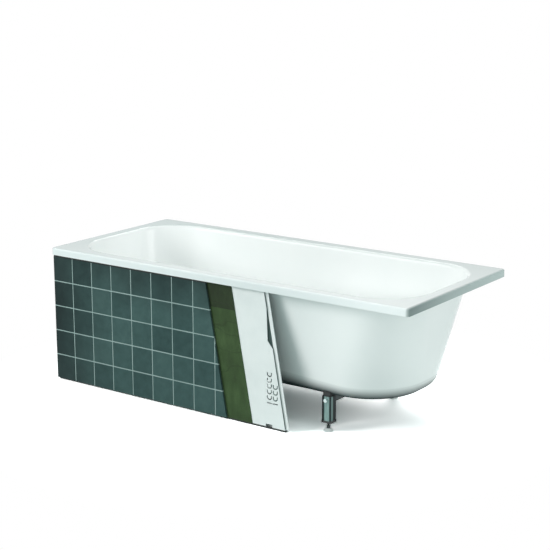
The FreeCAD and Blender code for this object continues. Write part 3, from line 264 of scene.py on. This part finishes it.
# Foot spindles, as in the CAD model
LEGS = ("head_front", "head_rear", "foot_front", "foot_rear")
SPINDLE_RADIUS = 0.005
SPINDLE_BALL_RADIUS = 0.0065
SPINDLE_BALL_HEIGHT = 0.00855
SPINDLE_BALL_ROWS = 12
SPINDLE_HEX_LOW = 0.01405
SPINDLE_HEX_HIGH = 0.02055
SPINDLE_HEX_ACROSS = 0.013
SPINDLE_TIP_CHAMFER = 0.001
SPINDLE_SHARP_ANGLE = math.radians(40)

# Thread on the spindles
THREAD_PITCH = 0.0015
THREAD_DEPTH = 0.0007
THREAD_ROWS = 8
THREAD_SIDES = 32


def linear(colour):
    """A screen colour as a linear colour with full alpha."""
    parts = [value / SCREEN_FULL for value in colour]
    return [linear_part(part) for part in parts] + [1.0]


def linear_part(part):
    """One part of a screen colour, from 0 to 1, made linear."""
    if part <= SCREEN_KNEE:
        return part / SCREEN_SLOPE
    return ((part + SCREEN_OFFSET) / (1 + SCREEN_OFFSET)) ** SCREEN_POWER


class Paint:
    """A material and the calls that build its nodes."""

    def __init__(self, name):
        self.material = bpy.data.materials.new(name)
        self.material.use_nodes = True
        self.tree = self.material.node_tree
        self.shader = self.tree.nodes["Principled BSDF"]
        self.place = self.tree.nodes.new("ShaderNodeTexCoord").outputs["Object"]

    def feed(self, socket, value):
        """Link a socket to another, or set its value."""
        if isinstance(value, bpy.types.NodeSocket):
            self.tree.links.new(value, socket)
        else:
            socket.default_value = value

    def node(self, kind, inputs, **settings):
        """A new node with its settings and inputs, by name or number."""
        made = self.tree.nodes.new("ShaderNode" + kind)
        for key, value in settings.items():
            setattr(made, key, value)
        for key, value in inputs.items():
            self.feed(made.inputs[key], value)
        return made

    def stretched(self, factors):
        """The place on the object, stretched by three factors."""
        return self.node("Mapping", {"Vector": self.place, "Scale": factors}).outputs["Vector"]

    def noise(self, features, layers, roughness, place=None):
        """Soft noise with so many features a metre, in layers."""
        inputs = {"Vector": place or self.place, "Scale": features, "Detail": layers, "Roughness": roughness}
        return self.node("TexNoise", inputs).outputs["Fac"]

    def cells(self, features, output):
        """Cells with so many a metre."""
        return self.node("TexVoronoi", {"Vector": self.place, "Scale": features}).outputs[output]

    def math(self, operation, first, second=0.0):
        """A sum of two values, or of one."""
        return self.node("Math", {0: first, 1: second}, operation=operation).outputs["Value"]

    def total(self, *pairs):
        """The values added up, each times its share."""
        parts = [self.math("MULTIPLY", value, share) for value, share in pairs]
        result = parts[0]
        for part in parts[1:]:
            result = self.math("ADD", result, part)
        return result

    def mean(self, first, second):
        """The mean of two values."""
        return self.math("MULTIPLY", self.math("ADD", first, second), 1 / 2)

    def sway(self, noise, width):
        """A noise moved to swing about zero, over a width."""
        return self.math("MULTIPLY", self.math("SUBTRACT", noise, NOISE_MEAN), width)

    def between(self, value, low, high, start=0.0, end=1.0):
        """A value moved from one range to another and kept inside it."""
        inputs = {"Value": value, "From Min": start, "From Max": end, "To Min": low, "To Max": high}
        return self.node("MapRange", inputs).outputs["Result"]

    def shades(self, value, stops):
        """A colour that runs through stops of place and screen colour."""
        ramp = self.node("ValToRGB", {"Fac": value})
        points = ramp.color_ramp.elements
        while len(points) < len(stops):
            points.new(1.0)
        for point, (position, colour) in zip(points, stops):
            point.position = position
            point.color = linear(colour)
        return ramp.outputs["Color"]

    def along(self, axis):
        """The place along one axis."""
        return self.node("SeparateXYZ", {"Vector": self.place}).outputs[axis]

    def facing(self, axis):
        """How far the surface faces along one axis."""
        normal = self.node("TexCoord", {}).outputs["Normal"]
        return self.node("SeparateXYZ", {"Vector": normal}).outputs[axis]

    def over(self, share, lower, upper):
        """One colour over another by a share."""
        made = self.node("Mix", {"Factor": share, MIX_LOWER: lower, MIX_UPPER: upper}, data_type="RGBA")
        return made.outputs[MIX_RESULT]

    def bump(self, height, depth, strength):
        """Bumps of a depth and a strength, added to those before."""
        inputs = {"Height": height, "Distance": depth, "Strength": strength}
        link = self.shader.inputs["Normal"].links
        if link:
            inputs["Normal"] = link[0].from_socket
        made = self.node("Bump", inputs)
        self.feed(self.shader.inputs["Normal"], made.outputs["Normal"])

    def finish(self, **values):
        """Set the shader's inputs, with underlines for the blanks in their names, and give the material."""
        for key, value in values.items():
            self.feed(self.shader.inputs[key.replace("_", " ")], value)
        return self.material


# Materials

def enamel():
    """Glossy white enamel with painted shade on the rim and its lip, fading underneath into a dark ground
    coat that is partly painted shade.
    """
    paint = Paint("enamel")
    speck = paint.noise(*ENAMEL_SPECK)
    tone = paint.total((paint.noise(*ENAMEL_CLOUD), ENAMEL_CLOUD_SHARE), (speck, ENAMEL_SPECK_SHARE))
    # Painted shade on the lip and the flat rim, laid over the enamel's colour
    colour = painted_rim_shade(paint, paint.shades(tone, ENAMEL_SHADES))
    # The dark ground coat under the tub, partly painted shade along its lower edge
    bare_and_shade = paint.shades(speck, GROUND_COAT_AND_PAINTED_SHADES)
    cover = enamel_over_shade(paint, speck)
    smear = paint.between(paint.noise(*ENAMEL_SMEAR), *ENAMEL_ROUGHNESS)
    paint.bump(paint.noise(*ENAMEL_RIPPLE), *ENAMEL_RIPPLE_BUMP)
    return paint.finish(Base_Color=paint.over(cover, bare_and_shade, colour),
                        Roughness=paint.math("ADD", smear, paint.between(cover, GROUND_COAT_ROUGHER, 0.0)),
                        Specular_IOR_Level=ENAMEL_GLOSS)


def painted_rim_shade(paint, colour):
    """The enamel's colour with painted shade laid over the lip and the flat rim."""
    across = paint.between(paint.along("Y"), 0.0, 1.0, -RIM_HALF_WIDTH, RIM_HALF_WIDTH)
    side = paint.shades(across, LIP_SIDE_PAINTED_SHADES)
    colour = paint.over(outermost(paint, "Y", RIM_HALF_WIDTH, LIP_FADE), colour, side)
    end = paint.shades(across, LIP_END_PAINTED_SHADES)
    colour = paint.over(outermost(paint, "X", RIM_HALF_LENGTH, LIP_FADE), colour, end)
    # Painted shade on the flat rim, darker towards the rear and the foot end
    far = paint.total((paint.along("Y"), RIM_SHADE_REARWARD_SHARE),
                      (paint.along("X"), -RIM_SHADE_HEADWARD_SHARE))
    rim_shade = paint.between(far, *RIM_SHADE_SHARES, -RIM_HALF_WIDTH, RIM_HALF_WIDTH)
    flat = paint.math("MULTIPLY", outermost(paint, "Z", RIM_TOP, RIM_FADE), rim_shade)
    return paint.over(flat, colour, linear(RIM_PAINTED_SHADE))


def outermost(paint, axis, half, fade):
    """One on the tub's outermost faces along an axis, fading to zero further in."""
    return paint.between(paint.math("ABSOLUTE", paint.along(axis)), 0.0, 1.0, half - fade, half)


def enamel_over_shade(paint, speck):
    """One where the white enamel is full, fading to zero on the outside's lowest, downward faces, where the
    dark ground coat and painted shade show.
    """
    rise = paint.between(paint.along("X"), UNDERSIDE_RISE, 0.0, UNDERSIDE_RISE_START, UNDERSIDE_RISE_END)
    height = paint.math("ADD", paint.along("Z"), paint.math("MULTIPLY", speck, UNDERSIDE_SPECK))
    height = paint.math("SUBTRACT", height, rise)
    high = paint.between(height, 0.0, 1.0, UNDERSIDE_HEIGHT, UNDERSIDE_HEIGHT + UNDERSIDE_FADE)
    upward = paint.between(paint.facing("Z"), 0.0, 1.0, -UNDERSIDE_FACING, UNDERSIDE_FACING)
    return paint.math("MAXIMUM", high, upward)


def tile_share(paint, axis, start):
    """Tile number and place within the tile along one axis."""
    steps = paint.math("DIVIDE", paint.math("SUBTRACT", paint.along(axis), start), TILE_PITCH)
    return paint.math("FLOOR", steps), paint.math("FRACT", steps)


def tile_glaze():
    """Dark teal grey glaze: each tile a little different, clouded, lighter at its edges."""
    paint = Paint("tile_glaze")
    column, across = tile_share(paint, "X", TILE_LEFT)
    row, up = tile_share(paint, "Z", TILE_BASE)
    seed = paint.node("CombineXYZ", {"X": column, "Y": row}).outputs["Vector"]
    own = paint.node("TexWhiteNoise", {"Vector": seed}).outputs["Value"]
    cloud = paint.noise(*TILE_CLOUD)
    speck = paint.noise(*TILE_SPECK)
    tone = paint.total((own, TILE_OWN_SHARE), (cloud, TILE_CLOUD_SHARE), (speck, TILE_SPECK_SHARE))
    colour = paint.over(tile_edge(paint, across, up), paint.shades(tone, TILE_SHADES), linear(TILE_EDGE))
    paint.bump(cloud, *TILE_CLOUD_BUMP)
    paint.bump(speck, *TILE_SPECK_BUMP)
    # Painted shade towards the foot end's corner and under the rim
    return paint.finish(Base_Color=paint.over(tile_painted_shade(paint), colour, linear(TILE_PAINTED_SHADE)),
                        Roughness=paint.between(paint.noise(*TILE_SMEAR), *TILE_ROUGHNESS),
                        Specular_IOR_Level=TILE_GLOSS)


def tile_edge(paint, across, up):
    """The share of the lighter edge, from the places within the tile."""
    middle = TILE_SIDE / TILE_PITCH / 2
    from_middle = [paint.math("ABSOLUTE", paint.math("SUBTRACT", place, middle)) for place in (across, up)]
    furthest = paint.math("MAXIMUM", *from_middle)
    return paint.between(furthest, 0.0, TILE_EDGE_SHARE, middle - TILE_EDGE_WIDTH_SHARE, middle)


def tile_painted_shade(paint):
    """The share of painted shade, towards the foot end's corner and under the rim."""
    cloud = paint.sway(paint.noise(*TILE_SHADE_CLOUD), TILE_SHADE_SWAY)
    corner = paint.between(paint.math("ADD", paint.along("X"), cloud), TILE_CORNER_SHADE_SHARE, 0.0,
                           TILE_LEFT - TILE_CORNER_SHADE_START, TILE_LEFT + TILE_CORNER_SHADE_REACH)
    rim = paint.between(paint.math("ADD", paint.along("Z"), cloud), 0.0, TILE_TOP_SHADE_SHARE,
                        TILE_TOP - TILE_TOP_SHADE_REACH, TILE_TOP)
    return paint.math("MAXIMUM", corner, rim)


def grout():
    """Pale sandy grout with darker damp patches."""
    paint = Paint("grout")
    grain = paint.noise(*GROUT_GRAIN)
    tone = paint.mean(grain, paint.noise(*GROUT_PATCH))
    paint.bump(grain, *GROUT_GRAIN_BUMP)
    return paint.finish(Base_Color=paint.shades(tone, GROUT_SHADES),
                        Roughness=paint.between(grain, *GROUT_ROUGHNESS))


def rolled_green(name, colours):
    """A rolled-on or stuck-on sealing layer, mottled and creased, with painted shade in its creases, stippled
    skin and upright strokes.
    """
    paint = Paint(name)
    strokes = paint.noise(*GREEN_STROKE, paint.stretched(GREEN_STROKE_STRETCH))
    stipple = paint.noise(*GREEN_STIPPLE)
    patch = paint.noise(*GREEN_PATCH)
    tone = paint.total((strokes, GREEN_STROKE_SHARE), (stipple, GREEN_STIPPLE_SHARE),
                       (patch, GREEN_PATCH_SHARE))
    colour = paint.shades(tone, tuple(zip(GREEN_STOPS, colours)))
    ripple = paint.noise(*GREEN_CREASE, paint.stretched(GREEN_CREASE_STRETCH))
    from_crease = paint.math("ABSOLUTE", paint.math("SUBTRACT", ripple, GREEN_CREASE_LEVEL))
    crease_and_shade = paint.between(from_crease, GREEN_CREASE_SHADE_SHARE, 0.0, 0.0, GREEN_CREASE_WIDTH)
    paint.bump(stipple, *GREEN_STIPPLE_BUMP)
    paint.bump(strokes, *GREEN_STROKE_BUMP)
    paint.bump(crease_and_shade, *GREEN_CREASE_BUMP)
    # Painted shade in the creases
    return paint.finish(Base_Color=paint.over(crease_and_shade, colour, linear(colours[0])),
                        Roughness=paint.between(stipple, *GREEN_ROUGHNESS),
                        Specular_IOR_Level=GREEN_GLOSS)


def membrane_green():
    """The olive green sealing membrane."""
    return rolled_green("membrane_green", MEMBRANE_COLOURS)


def tape_green():
    """The darker sealing tape over the membrane's top."""
    return rolled_green("tape_green", TAPE_COLOURS)


def adhesive():
    """Dark grey tile adhesive with combed ridges."""
    paint = Paint("adhesive")
    comb = paint.noise(*ADHESIVE_COMB, paint.stretched(ADHESIVE_COMB_STRETCH))
    grain = paint.noise(*ADHESIVE_GRAIN)
    paint.bump(comb, *ADHESIVE_COMB_BUMP)
    return paint.finish(Base_Color=paint.shades(paint.mean(comb, grain), ADHESIVE_SHADES),
                        Roughness=paint.between(grain, *ADHESIVE_ROUGHNESS))


def board_white():
    """Satin white powder coat with a fine peel and faint handling marks, over a grey primer on the back that
    is also painted shade where it shows through the vents and the notch.
    """
    paint = Paint("board_white")
    marks = paint.noise(*BOARD_MARK)
    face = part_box("front_board")[0].y
    # A grey primer behind the face, also painted shade where it shows through the vents and the notch
    back = paint.between(paint.along("Y"), 0.0, 1.0, face + PRIMER_START, face + PRIMER_FULL)
    colour = paint.over(back, paint.shades(marks, BOARD_SHADES), paint.shades(marks, PRIMER_AND_PAINTED_SHADES))
    paint.bump(paint.noise(*BOARD_PEEL), *BOARD_PEEL_BUMP)
    return paint.finish(Base_Color=colour, Roughness=paint.between(marks, *BOARD_ROUGHNESS))


def plated(name, dark, light, roughness):
    """A plated metal with crystal patches and drawn streaks."""
    paint = Paint(name)
    spangle = paint.node("SeparateColor", {"Color": paint.cells(PLATED_SPANGLES, "Color")}).outputs["Red"]
    streaks = paint.noise(*PLATED_STREAK, paint.stretched(PLATED_STREAK_STRETCH))
    tone = paint.total((spangle, PLATED_SPANGLE_SHARE), (streaks, PLATED_STREAK_SHARE))
    paint.bump(streaks, *PLATED_STREAK_BUMP)
    return paint.finish(Base_Color=paint.shades(tone, tuple(zip(PLATED_STOPS, (dark, light)))), Metallic=1.0,
                        Roughness=paint.between(tone, *roughness))


def zinc():
    """Bright zinc on folded steel."""
    return plated("zinc", *ZINC)


def leg_steel():
    """Grey folded steel with painted shade at its bends, on one side of its web and on its inner half."""
    paint = Paint("leg_steel")
    streaks = paint.noise(*LEG_STREAK, paint.stretched(LEG_STREAK_STRETCH))
    paint.bump(streaks, *LEG_STREAK_BUMP)
    # Painted shade at the leg's bends, on one side of its web and on its inner half
    colour = paint.over(leg_painted_shade(paint, streaks), paint.shades(streaks, LEG_SHADES), linear(LEG_PAINTED_SHADE))
    return paint.finish(Base_Color=colour, Metallic=LEG_METAL,
                        Roughness=paint.between(streaks, *LEG_ROUGHNESS))


def leg_painted_shade(paint, streaks):
    """The share of painted shade on a leg, broken up in streaks."""
    across = leg_place(paint, "X", LEG_X, LEG_HALF_WIDTH)
    deep = leg_place(paint, "Y", LEG_Y, LEG_HALF_DEPTH)
    to_bend = paint.math("MINIMUM", paint.math("ABSOLUTE", across), paint.math("ABSOLUTE", deep))
    streaked = paint.math("ADD", to_bend, paint.sway(streaks, LEG_SHADE_SWAY))
    bend = paint.between(streaked, 0.0, 1.0, *LEG_BEND_SHARES)
    web = paint.between(across, 1.0, 0.0, *LEG_WEB_SHARES)
    inner = paint.between(deep, 1.0, 0.0, *LEG_INNER_SHARES)
    return paint.math("MAXIMUM", bend, paint.math("MAXIMUM", web, inner))


def leg_place(paint, axis, middle, half):
    """The place across a leg along one axis, from -1 to 1."""
    from_middle = paint.math("SUBTRACT", paint.math("ABSOLUTE", paint.along(axis)), middle)
    return paint.math("DIVIDE", from_middle, half)


def dark_steel():
    """Dark passivated steel."""
    return plated("dark_steel", *DARK_STEEL)


def moulded(name, dark, light, grains, depth, roughness):
    """A moulded plastic or rubber with a fine grain and faint flow marks."""
    paint = Paint(name)
    grain = paint.noise(grains, MOULDED_LAYERS, MOULDED_GRAIN_ROUGHNESS)
    tone = paint.mean(grain, paint.noise(*MOULDED_FLOW))
    paint.bump(grain, depth, MOULDED_GRAIN_STRENGTH)
    return paint.finish(Base_Color=paint.shades(tone, tuple(zip(MOULDED_STOPS, (dark, light)))),
                        Roughness=paint.between(tone, *roughness))


def black_rubber():
    """Matt black rubber with a little bloom."""
    return moulded("black_rubber", *BLACK_RUBBER)


def black_plastic():
    """Black moulded plastic."""
    return moulded("black_plastic", *BLACK_PLASTIC)


def white_plastic():
    """White moulded plastic."""
    return moulded("white_plastic", *WHITE_PLASTIC)


def grey_plastic():
    """Grey moulded plastic, as used for waste pipes."""
    return moulded("grey_plastic", *GREY_PLASTIC)


def mat_black():
    """Bitumen sound mat, pressed with a close knobbly pattern."""
    paint = Paint("mat_black")
    knobs = paint.cells(MAT_KNOBS, "Distance")
    grain = paint.noise(*MAT_GRAIN)
    paint.bump(knobs, *MAT_KNOB_BUMP)
    return paint.finish(Base_Color=paint.shades(paint.mean(knobs, grain), MAT_SHADES),
                        Roughness=paint.between(grain, *MAT_ROUGHNESS))


def chrome():
    """Polished chrome with faint water marks."""
    paint = Paint("chrome")
    spots = paint.noise(*CHROME_SPOT)
    return paint.finish(Base_Color=paint.shades(spots, CHROME_SHADES), Metallic=1.0,
                        Roughness=paint.between(spots, *CHROME_ROUGHNESS))


MAKERS = (enamel, tile_glaze, grout, membrane_green, tape_green, adhesive, board_white, zinc, leg_steel,
          dark_steel, black_rubber, black_plastic, white_plastic, grey_plastic, mat_black, chrome)


def paint_nodes(frame, materials):
    """Give every CAD node the material of its slot in the record."""
    for part in frame["record"]["subparts"]:
        piece = frame["nodes"][part["node"]]
        piece.data.materials.clear()
        piece.data.materials.append(materials[part["material_slot"]])


# Foot spindles

def thread_rows(low, high):
    """Heights along a thread, from end to end."""
    count = math.ceil((high - low) / THREAD_PITCH * THREAD_ROWS)
    return [low + (high - low) * step / count for step in range(count + 1)]


def thread_radius(height, turn, low, high):
    """The thread's radius at a height and a share of a turn, run out to nothing at both ends."""
    phase = (height / THREAD_PITCH - turn) % 1.0
    groove = abs(2 * phase - 1)
    from_end = min(height - low, high - height) / THREAD_PITCH
    return SPINDLE_RADIUS - THREAD_DEPTH * groove * min(1.0, max(0.0, from_end))


def lathe(mesh, rows):
    """Join rings of points into one closed skin."""
    rings = [[mesh.verts.new(point) for point in row] for row in rows]
    for lower, upper in zip(rings, rings[1:]):
        for step in range(len(lower)):
            after = (step + 1) % len(lower)
            mesh.faces.new((lower[step], lower[after], upper[after], upper[step]))
    mesh.faces.new(list(reversed(rings[0])))
    mesh.faces.new(rings[-1])


def ring_points(centre, height, radius_at):
    """A ring of points round the spindle's axis."""
    points = []
    for step in range(THREAD_SIDES):
        share = step / THREAD_SIDES
        angle = 2 * math.pi * share
        radius = radius_at(share)
        points.append((centre.x + radius * math.cos(angle), centre.y + radius * math.sin(angle), height))
    return points


def hexagon_radius(share):
    """The radius of a hexagon at a share of a turn."""
    sixth = math.pi / 3
    angle = (2 * math.pi * share) % sixth - sixth / 2
    return SPINDLE_HEX_ACROSS / 2 / math.cos(angle)


def ball_rows(centre):
    """The rings of the ball, as far up as its neck."""
    rows = []
    for step in range(1, SPINDLE_BALL_ROWS):
        angle = math.pi * (step / SPINDLE_BALL_ROWS - 1 / 2)
        height = SPINDLE_BALL_HEIGHT + SPINDLE_BALL_RADIUS * math.sin(angle)
        radius = SPINDLE_BALL_RADIUS * math.cos(angle)
        if height < SPINDLE_HEX_LOW and (height < SPINDLE_BALL_HEIGHT or radius > SPINDLE_RADIUS):
            rows.append(ring_points(centre, height, lambda share, radius=radius: radius))
    return rows


def spindle_rows(centre, top):
    """The spindle's rings from the ball up through the hexagon and the thread to the tip."""
    rows = ball_rows(centre)
    for height in (SPINDLE_HEX_LOW, SPINDLE_HEX_HIGH):
        plain = ring_points(centre, height, lambda share: SPINDLE_RADIUS)
        hexagon = ring_points(centre, height, hexagon_radius)
        rows.extend((plain, hexagon) if height == SPINDLE_HEX_LOW else (hexagon, plain))
    thread_top = top - SPINDLE_TIP_CHAMFER
    for height in thread_rows(SPINDLE_HEX_HIGH, thread_top)[1:]:
        rows.append(ring_points(centre, height, lambda share, height=height: thread_radius(
            height, share, SPINDLE_HEX_HIGH, thread_top)))
    rows.append(ring_points(centre, top, lambda share: SPINDLE_RADIUS - SPINDLE_TIP_CHAMFER))
    return rows


def threaded_spindle(leg, material):
    """A spindle with a real thread, in the place of the plain one."""
    node = "foot_spindle_" + leg
    low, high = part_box(node)
    centre = (low + high) / 2
    mesh = bmesh.new()
    lathe(mesh, spindle_rows(centre, high.z))
    bmesh.ops.recalc_face_normals(mesh, faces=mesh.faces)
    data = bpy.data.meshes.new("threaded_spindle_" + leg)
    mesh.to_mesh(data)
    mesh.free()
    data.materials.append(material)
    data.shade_smooth()
    data.set_sharp_from_angle(angle=SPINDLE_SHARP_ANGLE)
    piece = bpy.data.objects.new(data.name, data)
    bpy.context.scene.collection.objects.link(piece)
    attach(piece, "spindle_" + leg)
    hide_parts(node)


# Studio

def seen_rays(tree):
    """One for rays that show the surroundings themselves, zero for those that light the object."""
    path = tree.nodes.new("ShaderNodeLightPath")
    seen = path.outputs["Is Camera Ray"]
    for name in ("Is Glossy Ray", "Is Transmission Ray"):
        either = tree.nodes.new("ShaderNodeMath")
        either.operation = "MAXIMUM"
        tree.links.new(seen, either.inputs[0])
        tree.links.new(path.outputs[name], either.inputs[1])
        seen = either.outputs["Value"]
    return seen


def studio_sky():
    """A white surround that lights the object softly."""
    world = bpy.data.worlds.new("studio_sky")
    world.use_nodes = True
    tree = world.node_tree
    light = tree.nodes["Background"]
    light.inputs["Color"].default_value = linear(SKY_COLOUR)
    light.inputs["Strength"].default_value = SKY_STRENGTH
    white = tree.nodes.new("ShaderNodeBackground")
    white.inputs["Color"].default_value = WHITE
    mix = tree.nodes.new("ShaderNodeMixShader")
    tree.links.new(seen_rays(tree), mix.inputs[0])
    tree.links.new(light.outputs[0], mix.inputs[1])
    tree.links.new(white.outputs[0], mix.inputs[2])
    tree.links.new(mix.outputs[0], tree.nodes["World Output"].inputs["Surface"])
    bpy.context.scene.world = world


def studio_floor():
    """A plain floor that looks white, keeps the object's shadow and runs out into plain white."""
    half = FLOOR_SIZE / 2
    data = bpy.data.meshes.new("studio_floor")
    corners = [(-half, -half, 0), (half, -half, 0), (half, half, 0), (-half, half, 0)]
    data.from_pydata(corners, [], [(0, 1, 2, 3)])
    floor = bpy.data.objects.new("studio_floor", data)
    bpy.context.scene.collection.objects.link(floor)
    data.materials.append(floor_white())


def floor_white():
    """A matt floor near the object that looks white where no shadow falls, and plain white further out."""
    paint = Paint("studio_floor")
    seen = seen_rays(paint.tree)
    white = [FLOOR_SEEN, FLOOR_SEEN, FLOOR_SEEN, 1.0]
    near = paint.node("BsdfDiffuse", {"Color": paint.over(seen, linear(FLOOR_COLOUR), white)}).outputs["BSDF"]
    distance = paint.node("VectorMath", {0: paint.place}, operation="LENGTH").outputs["Value"]
    share = paint.math("MULTIPLY", seen, paint.between(distance, 0.0, 1.0, FLOOR_NEAR, FLOOR_FAR))
    far = paint.node("Emission", {"Color": WHITE, "Strength": 1.0}).outputs["Emission"]
    mixed = paint.node("MixShader", {0: share, 1: near, 2: far}).outputs["Shader"]
    paint.tree.links.new(mixed, paint.tree.nodes["Material Output"].inputs["Surface"])
    return paint.material


def hang_lamp(data, power, place, target):
    """Hang a lamp of a power at a place, pointing at a target."""
    data.energy = power
    data.color = LAMP_COLOUR
    lamp = bpy.data.objects.new(data.name, data)
    lamp.location = place
    lamp.rotation_euler = (Vector(target) - Vector(place)).to_track_quat("-Z", "Y").to_euler()
    bpy.context.scene.collection.objects.link(lamp)


def studio_lamps():
    """Large soft lamps round the object, and soft spots into the basin, onto its rim and its front corner."""
    for name, place, target, size, power in LAMPS:
        data = bpy.data.lights.new(name, "AREA")
        data.size = size
        hang_lamp(data, power, place, target)
    for name, place, target, cone, power in SPOT_LAMPS:
        data = bpy.data.lights.new(name, "SPOT")
        data.shadow_soft_size = SPOT_LAMP_SIZE
        data.spot_size = cone
        data.spot_blend = SPOT_LAMP_BLEND
        hang_lamp(data, power, place, target)


def camera():
    """The camera at the photo's viewing angle."""
    data = bpy.data.cameras.new("camera")
    data.lens = CAMERA_LENS
    data.sensor_width = CAMERA_SENSOR
    data.sensor_fit = "HORIZONTAL"
    made = bpy.data.objects.new("camera", data)
    made.location = CAMERA_PLACE
    made.rotation_euler = (CAMERA_TILT, 0.0, CAMERA_TURN)
    bpy.context.scene.collection.objects.link(made)
    bpy.context.scene.camera = made


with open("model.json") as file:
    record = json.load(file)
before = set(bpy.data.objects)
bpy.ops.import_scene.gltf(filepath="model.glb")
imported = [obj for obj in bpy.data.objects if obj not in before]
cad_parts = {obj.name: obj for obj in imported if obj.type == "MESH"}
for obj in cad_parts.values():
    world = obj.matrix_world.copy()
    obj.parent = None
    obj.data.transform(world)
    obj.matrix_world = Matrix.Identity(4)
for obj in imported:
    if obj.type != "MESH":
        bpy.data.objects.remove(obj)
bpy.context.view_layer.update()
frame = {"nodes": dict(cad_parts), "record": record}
bpy.context.scene.view_settings.view_transform = "Standard"
materials = {make.__name__: make() for make in MAKERS}
paint_nodes(frame, materials)
for leg in LEGS:
    threaded_spindle(leg, materials["dark_steel"])
studio_sky()
studio_floor()
studio_lamps()
camera()
